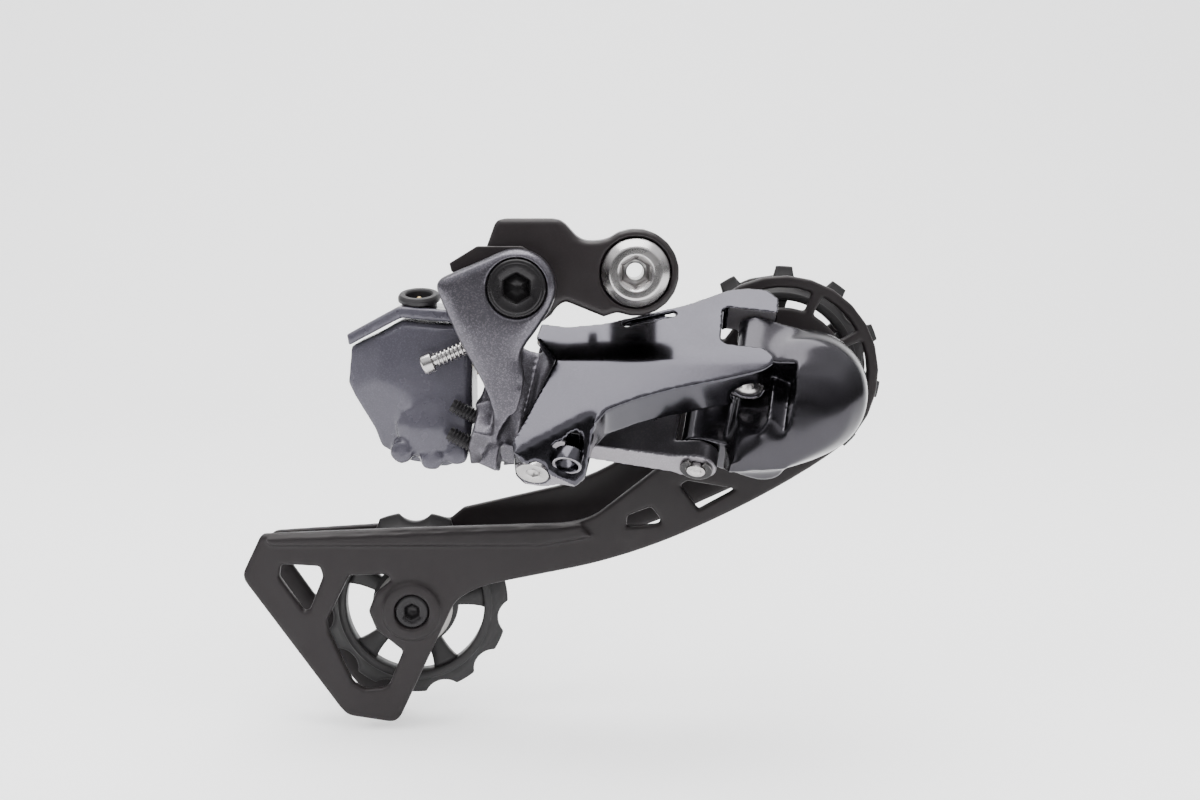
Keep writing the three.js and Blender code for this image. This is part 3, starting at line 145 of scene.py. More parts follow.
def makeDustGroup():
    # a little dust on faces that look up
    group, start, end = newShaderGroup("settledDust", [
        ("Vector", vectorSocket, None), ("Amount", floatSocket, 0.1),
    ], [("Mask", floatSocket)])
    facing = addNode(group, "ShaderNodeNewGeometry", (-600, 200))
    split = addNode(group, "ShaderNodeSeparateXYZ", (-400, 200))
    up = addNode(group, "ShaderNodeMapRange", (-200, 200))
    up.inputs["From Min"].default_value = 0.2
    patches = addNode(group, "ShaderNodeTexNoise", (-400, -100))
    patches.inputs["Scale"].default_value = 160
    patches.inputs["Detail"].default_value = 8
    both = addNode(group, "ShaderNodeMath", (0, 0), operation="MULTIPLY")
    scaled = addNode(group, "ShaderNodeMath", (200, 0), operation="MULTIPLY", use_clamp=True)
    group.links.new(facing.outputs["Normal"], split.inputs[0])
    group.links.new(split.outputs["Z"], up.inputs["Value"])
    group.links.new(start.outputs["Vector"], patches.inputs["Vector"])
    group.links.new(up.outputs["Result"], both.inputs[0])
    group.links.new(patches.outputs["Fac"], both.inputs[1])
    group.links.new(both.outputs[0], scaled.inputs[0])
    group.links.new(start.outputs["Amount"], scaled.inputs[1])
    group.links.new(scaled.outputs[0], end.inputs["Mask"])
    return group


def makeFlakeGroup():
    # metal flake in a paint coat
    group, start, end = newShaderGroup("metalFlake", [
        ("Vector", vectorSocket, None), ("Scale", floatSocket, 5200.0),
    ], [("Mask", floatSocket)])
    cells = addNode(group, "ShaderNodeTexVoronoi", (-500, 0))
    split = addNode(group, "ShaderNodeSeparateColor", (-300, 0))
    pick = addNode(group, "ShaderNodeMapRange", (-100, 0))
    pick.inputs["From Min"].default_value = 0.55
    group.links.new(start.outputs["Vector"], cells.inputs["Vector"])
    group.links.new(start.outputs["Scale"], cells.inputs["Scale"])
    group.links.new(cells.outputs["Color"], split.inputs[0])
    group.links.new(split.outputs[0], pick.inputs["Value"])
    group.links.new(pick.outputs["Result"], end.inputs["Mask"])
    return group


grainGroup = makeGrainGroup()
wearGroup = makeWearGroup()
dustGroup = makeDustGroup()
flakeGroup = makeFlakeGroup()

# finishes: colour, worn colour, metallic, roughness low and high, coat, bump, flake share
finishes = {
    "blackAnodised": dict(base=(.013, .0105, .0112), worn=(.20, .19, .19), metallic=.25, rough=(.3, .44),
                          coat=.05, bump=.12, fine=2600, flake=.10, wear=.30, dust=.03),
    "cageBlack": dict(base=(.011, .0088, .0095), worn=(.15, .14, .14), metallic=.2, rough=(.34, .5),
                      coat=.0, bump=.14, fine=2300, flake=.05, wear=.25, dust=.03),
    "armGrey": dict(base=(.088, .083, .096), worn=(.36, .35, .38), metallic=.9, rough=(.28, .40),
                    coat=.15, bump=.10, fine=3200, flake=.55, wear=.35, dust=.03),
    "linkGloss": dict(base=(.058, .056, .066), worn=(.34, .34, .37), metallic=1, rough=(.11, .19),
                      coat=.2, bump=.015, fine=1500, flake=.06, wear=.35, dust=.02),
    # satin finish for the flat lands, far lighter than the links around them: the satin roughness is real, the
    # lighter colour is painted sheen standing in for a pale reflection
    "landSatinPaintedSheen": dict(base=(.27, .255, .275), worn=(.5, .5, .52), metallic=.85, rough=(.34, .46),
                      coat=.1, bump=.06, fine=2600, flake=.15, wear=.3, dust=.0),
    "innerSatin": dict(base=(.055, .052, .058), worn=(.30, .30, .32), metallic=.85, rough=(.26, .38),
                       coat=.1, bump=.08, fine=2600, flake=.2, wear=.35, dust=.03),
    "memberGloss": dict(base=(.042, .040, .046), worn=(.34, .34, .37), metallic=.95, rough=(.14, .24),
                        coat=.25, bump=.02, fine=1800, flake=.08, wear=.3, dust=.03),
    "brightSteel": dict(base=(.50, .485, .48), worn=(.72, .71, .70), metallic=1, rough=(.18, .34),
                        coat=0, bump=.07, fine=1900, flake=0, wear=.3, dust=.02),
    "blackSteel": dict(base=(.016, .015, .016), worn=(.30, .29, .28), metallic=.5, rough=(.22, .38),
                       coat=.05, bump=.08, fine=2400, flake=0, wear=.45, dust=.02),
    "springSteel": dict(base=(.30, .29, .28), worn=(.5, .5, .5), metallic=1, rough=(.25, .4),
                        coat=0, bump=.06, fine=1800, flake=0, wear=.3, dust=.02),
    "motorGrey": dict(base=(.062, .059, .074), worn=(.26, .26, .29), metallic=.35, rough=(.2, .32),
                      coat=.2, bump=.06, fine=2100, flake=.18, wear=.2, dust=.03),
    "darkPlastic": dict(base=(.014, .013, .014), worn=(.07, .07, .07), metallic=0, rough=(.36, .5),
                        coat=.05, bump=.16, fine=1700, flake=0, wear=.2, dust=.03),
    "pulleyPlastic": dict(base=(.012, .0112, .0118), worn=(.06, .06, .06), metallic=0, rough=(.38, .52),
                          coat=.0, bump=.14, fine=1500, flake=0, wear=.3, dust=.03),
    "brassTone": dict(base=(.50, .37, .17), worn=(.70, .56, .30), metallic=1, rough=(.22, .36),
                      coat=0, bump=.05, fine=1700, flake=0, wear=.3, dust=.02),
    "boardGreen": dict(base=(.02, .13, .06), worn=(.1, .3, .16), metallic=0, rough=(.3, .42),
                       coat=.3, bump=.05, fine=1500, flake=0, wear=.2, dust=.02),
}


def makeFinish(name, look):
    material = bpy.data.materials.new(name)
    material.use_nodes = True
    tree = material.node_tree
    shader = tree.nodes["Principled BSDF"]
    shader.inputs["Metallic"].default_value = look["metallic"]
    shader.inputs["Coat Weight"].default_value = look["coat"]
    shader.inputs["Coat Roughness"].default_value = 0.12
    shader.inputs["Specular IOR Level"].default_value = 0.35
    place = addNode(tree, "ShaderNodeTexCoord", (-1400, 0))
    edge = addNode(tree, "ShaderNodeAttribute", (-1400, -300), attribute_name="edge")

    def group(source, at):
        node = addNode(tree, "ShaderNodeGroup", at)
        node.node_tree = source
        tree.links.new(place.outputs["Object"], node.inputs["Vector"])
        return node

    grain = group(grainGroup, (-1100, 200))
    grain.inputs["Fine Scale"].default_value = look["fine"]
    wear = group(wearGroup, (-1100, -50))
    wear.inputs["Amount"].default_value = look["wear"]
    tree.links.new(edge.outputs["Fac"], wear.inputs["Edge"])
    dust = group(dustGroup, (-1100, -300))
    dust.inputs["Amount"].default_value = look["dust"]

    def colourMix(factor, first, second, at):
        node = addNode(tree, "ShaderNodeMix", at, data_type="RGBA")
        tree.links.new(factor, node.inputs["Factor"])
        for socket, value in (("A", first), ("B", second)):
            target = [s for s in node.inputs if s.name == socket and s.type == "RGBA"][0]
            if isinstance(value, tuple):
                target.default_value = (*value, 1)
            else:
                tree.links.new(value, target)
        return [s for s in node.outputs if s.type == "RGBA"][0]

    base = look["base"]
    darker = tuple(c * 0.82 for c in base)
    lighter = tuple(c * 1.2 for c in base)
    colour = colourMix(grain.outputs["Tone"], darker, lighter, (-800, 300))
    if look["flake"]:
        flake = group(flakeGroup, (-1100, 450))
        share = addNode(tree, "ShaderNodeMath", (-900, 450), operation="MULTIPLY")
        share.inputs[1].default_value = look["flake"]
        tree.links.new(flake.outputs["Mask"], share.inputs[0])
        colour = colourMix(share.outputs[0], colour, tuple(min(1, c * 2.4) for c in base), (-650, 300))
    colour = colourMix(wear.outputs["Mask"], colour, look["worn"], (-500, 200))
    colour = colourMix(dust.outputs["Mask"], colour, (.42, .40, .37), (-350, 100))
    tree.links.new(colour, shader.inputs["Base Color"])

    rough = addNode(tree, "ShaderNodeMapRange", (-800, 0))
    rough.inputs["From Min"].default_value = 0.3
    rough.inputs["From Max"].default_value = 0.7
    rough.inputs["To Min"].default_value = look["rough"][0]
    rough.inputs["To Max"].default_value = look["rough"][1]
    tree.links.new(grain.outputs["Tone"], rough.inputs["Value"])
    tree.links.new(rough.outputs["Result"], shader.inputs["Roughness"])
    bump = addNode(tree, "ShaderNodeBump", (-300, -300))
    bump.inputs["Strength"].default_value = look["bump"]
    bump.inputs["Distance"].default_value = 0.0002
    tree.links.new(grain.outputs["Height"], bump.inputs["Height"])
    tree.links.new(bump.outputs["Normal"], shader.inputs["Normal"])
    return material


materials = {name: makeFinish(name, look) for name, look in finishes.items()}
print("finishes made:", len(materials))


# piece makers

def readMesh(mesh, kind):
    # points, point normals and edge pairs of a mesh
    place = np.empty(len(mesh.vertices) * 3, kind)
    mesh.vertices.foreach_get("co", place)
    facing = np.array([v.normal for v in mesh.vertices], kind)
    pairs = np.empty(len(mesh.edges) * 2, np.int64)
    mesh.edges.foreach_get("vertices", pairs)
    return place.reshape(-1, 3), facing.reshape(-1, 3), pairs.reshape(-1, 2)


def markEdges(mesh, reach):
    # stores how sharply each point stands out, for the wear masks; reach is in mm
    place, facing, pairs = readMesh(mesh, np.float32)
    count = len(place)
    step = place[pairs[:, 1]] - place[pairs[:, 0]]
    bend = ((facing[pairs[:, 1]] - facing[pairs[:, 0]]) * step).sum(1) / np.maximum((step ** 2).sum(1), 1e-12)
    total = np.zeros(count)
    seen = np.zeros(count)
    for side in (0, 1):
        np.add.at(total, pairs[:, side], bend)
        np.add.at(seen, pairs[:, side], 1)
    edge = np.clip(total / np.maximum(seen, 1) * reach * mm, 0, 1).astype(np.float32)
    layer = mesh.attributes.get("edge") or mesh.attributes.new("edge", "FLOAT", "POINT")
    layer.data.foreach_set("value", edge)


def settle(name, mesh, finish, body, node, reach=0.5):
    # one finished piece: smooth shaded, at the origin, riding its body in place of a CAD node
    mesh.materials.clear()
    mesh.materials.append(materials[finish])
    mesh.polygons.foreach_set("use_smooth", [True] * len(mesh.polygons))
    mesh.polygons.foreach_set("material_index", [0] * len(mesh.polygons))
    mesh.update()
    markEdges(mesh, reach)
    piece = bpy.data.objects.new(name, mesh)
    bpy.context.scene.collection.objects.link(piece)
    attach(piece, body)
    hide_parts(node)
    return piece


def bakeModifiers(piece):
    bpy.context.view_layer.update()
    evaluated = piece.evaluated_get(bpy.context.evaluated_depsgraph_get())
    mesh = bpy.data.meshes.new_from_object(evaluated)
    bpy.data.objects.remove(piece)
    return mesh


def relax(place, pairs, free, rounds):
    # moves every free point towards the middle of its neighbours, round after round
    count = len(place)
    first, second = pairs[:, 0], pairs[:, 1]
    share = np.maximum(np.bincount(first, minlength=count) + np.bincount(second, minlength=count), 1)
    for _ in range(rounds):
        middle = np.empty_like(place)
        for k in range(3):
            total = np.bincount(first, place[second, k], count) + np.bincount(second, place[first, k], count)
            middle[:, k] = total / share
        place = place + (middle - place) * free[:, None] * 0.5
    return place


def easeMesh(mesh, melt, rounds, keepBend):
    # melts shallow facets into curves while real creases hold, then eases every edge a little
    place, facing, pairs = readMesh(mesh, np.float64)
    count = len(place)
    bend = np.degrees(np.arccos(np.clip((facing[pairs[:, 0]] * facing[pairs[:, 1]]).sum(1), -1, 1)))
    sharp = np.zeros(count)
    for side in (0, 1):
        np.maximum.at(sharp, pairs[:, side], bend)
    free = np.clip((keepBend + 3 - sharp) / 6, 0, 1)
    place = relax(place, pairs, free, melt)
    place = relax(place, pairs, np.ones(count), rounds)
    mesh.vertices.foreach_set("co", place.astype(np.float32).ravel())
    mesh.update()


def castPiece(node, finish, slot, grid, rounds, melt=60, keepBend=15,
              landPaintedSheenFinish=None, landFacing=None, extras=()):
    # a cast, moulded or blanked piece: a fine even mesh of the CAD solid with its edges eased
    work = bmesh.new()
    work.from_mesh(frame["nodes"][node].data)
    bmesh.ops.remove_doubles(work, verts=work.verts, dist=1e-6)
    mesh = bpy.data.meshes.new(node + "_work")
    work.to_mesh(mesh)
    work.free()
    piece = bpy.data.objects.new(node + "_work", mesh)
    bpy.context.scene.collection.objects.link(piece)
    remesh = piece.modifiers.new("grid", "REMESH")
    remesh.mode = "VOXEL"
    remesh.voxel_size = grid * mm
    mesh = bakeModifiers(piece)
    easeMesh(mesh, melt, rounds, keepBend)
    if extras:
        whole = bmesh.new()
        whole.from_mesh(mesh)
        mesh = meshOf(node, whole, *extras)
    made = settle(node + "_made", mesh, finish, frame["nodes"][node]["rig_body"], node)
    if landPaintedSheenFinish:
        # the flat land that faces this way gets its own lighter satin finish, a painted sheen standing in for the
        # pale reflection it shows
        mesh.materials.append(materials[landPaintedSheenFinish])
        for face in mesh.polygons:
            face.material_index = int(face.normal.dot(landFacing) > 0.975)
    return made


def axisFrame(at, along):
    # turns +Z onto a direction and moves the origin; at in mm
    z = Vector(along).normalized()
    x = Vector((1, 0, 0)) if abs(z.x) < 0.9 else Vector((0, 0, 1))
    y = z.cross(x).normalized()
    x = y.cross(z)
    basis = Matrix((x, y, z)).transposed().to_4x4()
    return Matrix.Translation(Vector(at) * mm) @ basis @ Matrix.Scale(mm, 4)


def hexReach(corner, angle):
    part = (angle + math.pi / 6) % (math.pi / 3) - math.pi / 6
    return corner * math.cos(math.pi / 6) / math.cos(part)


def eased(profile, radius):
    # rounds every corner of a turned profile with a short arc of two steps
    points = []
    for i, (r, z, kind) in enumerate(profile):
        before = profile[i - 1] if i else None
        after = profile[i + 1] if i + 1 < len(profile) else None
        if not before or not after or r == 0 or kind != before[2] or kind != after[2]:
            points.append((r, z, kind))
            continue
        here = Vector((r, z))
        into = here - Vector(before[:2])
        out = Vector(after[:2]) - here
        reach = min(radius, into.length * 0.45, out.length * 0.45)
        if reach < 1e-4:
            points.append((r, z, kind))
            continue
        first = here - into.normalized() * reach
        last = here + out.normalized() * reach
        for t in (0, 0.33, 0.67, 1):
            spot = first * (1 - t) ** 2 + here * 2 * t * (1 - t) + last * t ** 2
            points.append((spot.x, spot.y, kind))
    return points


def turnedMesh(profile, place, sides=72, ease=0.18, closed=False):
    # profile rows are (radius, height) or (corner radius, height, "hex"), in mm
    rows = [(*row, "round") if len(row) == 2 else row for row in profile]
    rows = eased(rows, ease)
    work = bmesh.new()
    rings = []
    for r, z, kind in rows:
        if r < 1e-6:
            rings.append([work.verts.new((0, 0, z))])
            continue
        ring = []
        for k in range(sides):
            angle = 2 * math.pi * k / sides
            reach = hexReach(r, angle) if kind == "hex" else r
            ring.append(work.verts.new((reach * math.cos(angle), reach * math.sin(angle), z)))
        rings.append(ring)
    pairs = list(zip(rings, rings[1:]))
    if closed:
        pairs.append((rings[-1], rings[0]))
    for lower, upper in pairs:
        for k in range(sides):
            after = (k + 1) % sides
            corners = [lower[k % len(lower)], lower[after % len(lower)],
                       upper[after % len(upper)], upper[k % len(upper)]]
            unique = list(dict.fromkeys(corners))
            if len(unique) > 2:
                work.faces.new(unique)
    bmesh.ops.transform(work, matrix=place, verts=work.verts)
    bmesh.ops.remove_doubles(work, verts=work.verts, dist=1e-7)
    bmesh.ops.recalc_face_normals(work, faces=work.faces)
    return work


def meshOf(name, *works):
    mesh = bpy.data.meshes.new(name)
    whole = bmesh.new()
    for work in works:
        part = bpy.data.meshes.new("part")
        work.to_mesh(part)
        whole.from_mesh(part)
        bpy.data.meshes.remove(part)
        work.free()
    whole.to_mesh(mesh)
    whole.free()
    return mesh


turnedReach = 0.07  # mm, how far wear creeps in from a turned edge


def turnedPiece(node, profile, place, finish, sides=72, ease=0.18, closed=False, extras=()):
    mesh = meshOf(node, turnedMesh(profile, place, sides, ease, closed), *extras)
    return settle(node + "_made", mesh, finish, frame["nodes"][node]["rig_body"], node, turnedReach)


# geometry node trees

def newGeometryTree(name, inputs):
    tree = bpy.data.node_groups.new(name, "GeometryNodeTree")
    tree.is_modifier = True
    sockets = {}
    tree.interface.new_socket("Geometry", in_out="INPUT", socket_type="NodeSocketGeometry")
    for label, kind, value in inputs:
        socket = tree.interface.new_socket(label, in_out="INPUT", socket_type=kind)
        if value is not None:
            socket.default_value = value
        sockets[label] = socket.identifier
    tree.interface.new_socket("Geometry", in_out="OUTPUT", socket_type="NodeSocketGeometry")
    start = addNode(tree, "NodeGroupInput", (-900, 0))
    end = addNode(tree, "NodeGroupOutput", (900, 0))
    return tree, sockets, start, end


def makeCoilTree():
    # a wire or thread ridge wound on a cylinder
    tree, sockets, start, end = newGeometryTree("woundCoil", [
        ("Turns", "NodeSocketFloat", 6.0), ("Radius", "NodeSocketFloat", 0.002),
        ("Length", "NodeSocketFloat", 0.01), ("Wire Radius", "NodeSocketFloat", 0.0003),
        ("Steps", "NodeSocketInt", 40), ("Sides", "NodeSocketInt", 6), ("Material", "NodeSocketMaterial", None),
    ])
    spiral = addNode(tree, "GeometryNodeCurveSpiral", (-500, 100))
    section = addNode(tree, "GeometryNodeCurvePrimitiveCircle", (-500, -200))
    sweep = addNode(tree, "GeometryNodeCurveToMesh", (-200, 0))
    sweep.inputs["Fill Caps"].default_value = True
    solid = addNode(tree, "GeometryNodeRealizeInstances", (100, 0))
    paint = addNode(tree, "GeometryNodeSetMaterial", (400, 0))
    for source, target in (("Steps", "Resolution"), ("Turns", "Rotations"), ("Radius", "Start Radius"),
                           ("Radius", "End Radius"), ("Length", "Height")):
        tree.links.new(start.outputs[source], spiral.inputs[target])
    tree.links.new(start.outputs["Sides"], section.inputs["Resolution"])
    tree.links.new(start.outputs["Wire Radius"], section.inputs["Radius"])
    tree.links.new(spiral.outputs["Curve"], sweep.inputs["Curve"])
    tree.links.new(section.outputs["Curve"], sweep.inputs["Profile Curve"])
    tree.links.new(sweep.outputs["Mesh"], solid.inputs["Geometry"])
    tree.links.new(solid.outputs["Geometry"], paint.inputs["Geometry"])
    tree.links.new(start.outputs["Material"], paint.inputs["Material"])
    tree.links.new(paint.outputs["Geometry"], end.inputs["Geometry"])
    return tree, sockets


def makeRingTree():
    # copies of one piece set round an axis
    tree, sockets, start, end = newGeometryTree("piecesRound", [
        ("Count", "NodeSocketInt", 11), ("Phase", "NodeSocketFloat", 0.0), ("Piece", "NodeSocketObject", None),
        ("Weld", "NodeSocketFloat", 0.00001), ("Material", "NodeSocketMaterial", None),
    ])
    line = addNode(tree, "GeometryNodeMeshLine", (-500, 200))
    line.inputs["Offset"].default_value = (0, 0, 0)
    source = addNode(tree, "GeometryNodeObjectInfo", (-500, -200))
    index = addNode(tree, "GeometryNodeInputIndex", (-700, -400))
    share = addNode(tree, "ShaderNodeMath", (-500, -400), operation="DIVIDE")
    turn = addNode(tree, "ShaderNodeMath", (-350, -400), operation="MULTIPLY_ADD")
    turn.inputs[1].default_value = 2 * math.pi
    angles = addNode(tree, "ShaderNodeCombineXYZ", (-200, -400))
    copies = addNode(tree, "GeometryNodeInstanceOnPoints", (0, 0))
    solid = addNode(tree, "GeometryNodeRealizeInstances", (200, 0))
    weld = addNode(tree, "GeometryNodeMergeByDistance", (400, 0))
    paint = addNode(tree, "GeometryNodeSetMaterial", (600, 0))
    tree.links.new(start.outputs["Count"], line.inputs["Count"])
    tree.links.new(start.outputs["Piece"], source.inputs["Object"])
    tree.links.new(index.outputs[0], share.inputs[0])
    tree.links.new(start.outputs["Count"], share.inputs[1])
    tree.links.new(share.outputs[0], turn.inputs[0])
    tree.links.new(start.outputs["Phase"], turn.inputs[2])
    tree.links.new(turn.outputs[0], angles.inputs["Z"])
    tree.links.new(line.outputs["Mesh"], copies.inputs["Points"])
    tree.links.new(source.outputs["Geometry"], copies.inputs["Instance"])
    tree.links.new(angles.outputs[0], copies.inputs["Rotation"])
    tree.links.new(copies.outputs[0], solid.inputs["Geometry"])
    tree.links.new(solid.outputs["Geometry"], weld.inputs["Geometry"])
    tree.links.new(start.outputs["Weld"], weld.inputs["Distance"])
    tree.links.new(weld.outputs["Geometry"], paint.inputs["Geometry"])
    tree.links.new(start.outputs["Material"], paint.inputs["Material"])
    tree.links.new(paint.outputs["Geometry"], end.inputs["Geometry"])
    return tree, sockets


coilTree, coilSockets = makeCoilTree()
ringTree, ringSockets = makeRingTree()


def runTree(tree, sockets, values, place):
    # runs one tree on an empty mesh and gives the plain result, moved into place
    holder = bpy.data.objects.new("holder", bpy.data.meshes.new("holder"))
    bpy.context.scene.collection.objects.link(holder)
    modifier = holder.modifiers.new("make", "NODES")
    modifier.node_group = tree
    for label, value in values.items():
        modifier[sockets[label]] = value
    mesh = bakeModifiers(holder)
    work = bmesh.new()
    work.from_mesh(mesh)
    bmesh.ops.transform(work, matrix=place, verts=work.verts)
    bmesh.ops.recalc_face_normals(work, faces=work.faces)
    bpy.data.meshes.remove(mesh)
    return work


def coilOf(place, turns, radius, length, wire, finish, steps=36, sides=6):
    return runTree(coilTree, coilSockets, {
        "Turns": float(turns), "Radius": float(radius), "Length": float(length), "Wire Radius": float(wire),
        "Steps": int(turns * steps), "Sides": sides, "Material": materials[finish]}, place)


print("node trees built")


# bracket and its bolts

outboard = (0, -1, 0)
inboard = (0, 1, 0)

fixingBolt = {"faceAt": -9.75, "headRadius": 6.7, "shankRadius": 4.75, "threadPitch": 0.8, "threadTurns": 9,
              "reach": 8.5, "hexCorner": 2.9, "hexDepth": 6.5, "bore": 1.7}
axleBolt = {"at": (-22.8, -2.6), "faceAt": -14.8, "headRadius": 5.6, "shankRadius": 3.7, "hexCorner": 2.9}
brackets = {
    "bracket_link": {"finish": "blackAnodised", "slot": "satin_black", "grid": 0.26, "rounds": 6},
    "stop_plate": {"finish": "blackAnodised", "slot": "satin_black", "grid": 0.16, "rounds": 3},
}


def makeBracket():
    for node, look in brackets.items():
        castPiece(node, **look)
    b = fixingBolt
    y = b["faceAt"]
    head, shank, bore, hexCorner = b["headRadius"], b["shankRadius"], b["bore"], b["hexCorner"]
    place = axisFrame((0, 0, 0), inboard)
    hexFoot = y + b["hexDepth"]
    thread = coilOf(place @ Matrix.Translation((0, 0, 0.9)), b["threadTurns"], shank + 0.05,
                    b["threadTurns"] * b["threadPitch"], 0.28, "brightSteel")
    turnedPiece("fixing_bolt", [
        (bore, 8.4), (bore, hexFoot + 0.3), (2.2, hexFoot + 0.1), (hexCorner, hexFoot, "hex"),
        (hexCorner, y + 0.9, "hex"), (hexCorner + 0.35, y + 0.35), (hexCorner + 0.7, y),
        (4.9, y), (5.2, y + 0.12), (head - 0.35, y + 1.35), (head, y + 1.8), (head, y + 3.15),
        (shank, y + 3.2), (shank, b["reach"] - 0.7), (shank - 0.8, b["reach"]), (bore, b["reach"] - 0.05),
    ], place, "brightSteel", 96, 0.14, False, [thread])
    a = axleBolt
    y = a["faceAt"]
    head = a["headRadius"]
    place = axisFrame((a["at"][0], 0, a["at"][1]), inboard)
    thread = coilOf(place @ Matrix.Translation((0, 0, -7)), 6, a["shankRadius"], 4.8, 0.25, "blackSteel")
    turnedPiece("b_axle_bolt", [
        (0, y + 4.2), (a["hexCorner"], y + 4.2, "hex"), (a["hexCorner"], y + 0.5, "hex"), (a["hexCorner"] + 0.4, y),
        (head - 0.9, y), (head - 0.75, y + 0.12), (head - 0.3, y + 0.12), (head, y + 0.5), (head, y + 2.5),
        (4, y + 2.5), (4, -7.6), (a["shankRadius"] - 0.25, -7.3), (a["shankRadius"] - 0.25, -1.9), (0, -1.6),
    ], place, "blackSteel", 96, 0.14, False, [thread])
    turnedPiece("b_axle_bush", [(4.1, -12), (4.9, -12), (4.9, -9.3), (4.1, -9.3)], place, "brassTone",
                72, 0.1, True)
    print("bracket made")


makeBracket()

# adjusting screws

screwPlane = -5.6
tensionScrew = {"tip": (-27.6, -12.3), "tilt": 23, "radius": 1.5, "length": 15.4, "headRadius": 2, "turns": 14}
limitScrews = {"heads": ((-36.2, -26.1), (-36.9, -31.7)), "tilt": -27, "radius": 1.5, "length": 9, "turns": 11}


def makeScrews():
    s = tensionScrew
    tilt = math.radians(s["tilt"])
    along = (math.cos(tilt), 0, math.sin(tilt))
    place = axisFrame((s["tip"][0], screwPlane, s["tip"][1]), along)
    start = -s["length"]
    thread = coilOf(place @ Matrix.Translation((0, 0, start + 2.8)), s["turns"], s["radius"] - 0.2,
                    s["length"] - 3.6, 0.25, "brightSteel")
    turnedPiece("b_tension_screw", [
        (0, start + 1.7), (1.2, start + 1.7, "hex"), (1.2, start + 0.3, "hex"), (1.35, start), (1.7, start),
        (s["headRadius"], start + 0.3), (s["headRadius"], start + 2.2), (1.15, start + 2.4), (1.15, -0.5),
        (0.9, 0), (0, 0),
    ], place, "brightSteel", 48, 0.1, False, [thread])
    s = limitScrews
    tilt = math.radians(s["tilt"])
    along = (math.cos(tilt), 0, math.sin(tilt))
    for node, at in zip(("limit_screw_upper", "limit_screw_lower"), s["heads"]):
        place = axisFrame((at[0], screwPlane, at[1]), along)
        thread = coilOf(place @ Matrix.Translation((0, 0, 0.5)), s["turns"], s["radius"] - 0.2,
                        s["length"] - 0.9, 0.25, "blackSteel")
        turnedPiece(node, [
            (0, 1.8), (0.9, 1.8, "hex"), (0.9, 0.25, "hex"), (1.0, 0), (1.15, 0), (1.25, 0.2),
            (1.2, s["length"] - 0.5), (0.7, s["length"]), (0, s["length"]),
        ], place, "blackSteel", 48, 0.08, False, [thread])
    print("screws made")


makeScrews()

# B-member, links and P-member

pinFoot = Vector((-19.7, -13.5, -37.1))
pinUp = Vector((0.17364818, 0.67163727, 0.7202428))
pinAhead = Vector((0.98480775, -0.11842777, -0.12699824))
pinAcross = Vector((0, 0.7313537, -0.68199836))
linkPins = {"pin_outer_b": (0, 0), "pin_outer_p": (38.4, 0), "pin_inner_b": (-7.9, 12), "pin_inner_p": (30.5, 12)}
pinShank = 1.9
pinBore = 1.3
castings = {
    "b_member": {"finish": "armGrey", "slot": "satin_grey", "grid": 0.3, "rounds": 8,
                 "melt": 90, "keepBend": 30},
    "outer_link": {"finish": "linkGloss", "slot": "gloss_grey", "grid": 0.26, "rounds": 4,
                   "landPaintedSheenFinish": "landSatinPaintedSheen"},
    "inner_link": {"finish": "innerSatin", "slot": "satin_grey", "grid": 0.28, "rounds": 5,
                   "landPaintedSheenFinish": "landSatinPaintedSheen"},
    "p_member": {"finish": "memberGloss", "slot": "gloss_grey", "grid": 0.3, "rounds": 7,
                 "melt": 120, "keepBend": 18},
    "drive_sector": {"finish": "springSteel", "slot": "steel", "grid": 0.18, "rounds": 2},
    "drive_pinion": {"finish": "brassTone", "slot": "brass", "grid": 0.16, "rounds": 2},
    "pin_snap_ring": {"finish": "blackSteel", "slot": "black_steel", "grid": 0.14, "rounds": 2},
}


def pinSpan(node, at):
    # foot of a pin, its lowest and highest reach along its axis and its greatest radius, in mm
    foot = pinFoot + pinAhead * at[0] + pinAcross * at[1]
    spots = [v.co / mm - foot for v in frame["nodes"][node].data.vertices]
    heights = [spot.dot(pinUp) for spot in spots]
    radii = [(spot - pinUp * spot.dot(pinUp)).length for spot in spots]
    return foot, min(heights), max(heights), max(radii)


linkHole = {"at": (6.5, -2.6), "inner": 2.3, "outer": 2.9, "low": -0.3, "high": 2.6}


def holeRim():
    # the rolled rim of the plain hole in the outer link's lower flange
    h = linkHole
    spot = pinFoot + pinAhead * h["at"][0] + pinAcross * h["at"][1]
    rows = [(h["inner"], h["low"]), (h["outer"], h["low"]), (h["outer"], h["high"]), (h["inner"], h["high"])]
    return turnedMesh(rows, axisFrame(spot, pinUp), 60, 0.25, True)


def makeLinks():
    for node, look in castings.items():
        castPiece(node, landFacing=-pinUp, extras=[holeRim()] if node == "outer_link" else (), **look)
    for node, at in linkPins.items():
        foot, low, high, widest = pinSpan(node, at)
        headed = widest > pinShank + 0.3
        hollow = node == "pin_outer_p"
        if hollow:
            rows = [(pinBore, low), (widest, low)]
        elif headed:
            rows = [(0, low + 1.2), (pinBore, low + 1.2, "hex"), (pinBore, low + 0.2, "hex"), (1.5, low),
                    (widest, low)]
        else:
            rows = [(0, low + 0.5), (0.9, low + 0.35), (1.2, low), (pinShank, low)]
        if headed:
            rows += [(widest, low + 1), (pinShank, low + 1.02)]
        rows += [(pinShank, high - 0.3), (1.6, high), (pinBore if hollow else 0, high)]
        turnedPiece(node, rows, axisFrame(foot, pinUp), "brightSteel", 60, 0.12, hollow)
    print("links made")


makeLinks()

# cage pivot

pivot = {"at": (37.5, -28), "axle": 3, "springRadius": 6.4, "springAt": 8.45, "springLength": 8.1, "wire": 0.75,
         "turns": 4.5, "back": 19.6, "plateAt": 20.2, "sealOuter": 8.5, "sealInner": 4.6}


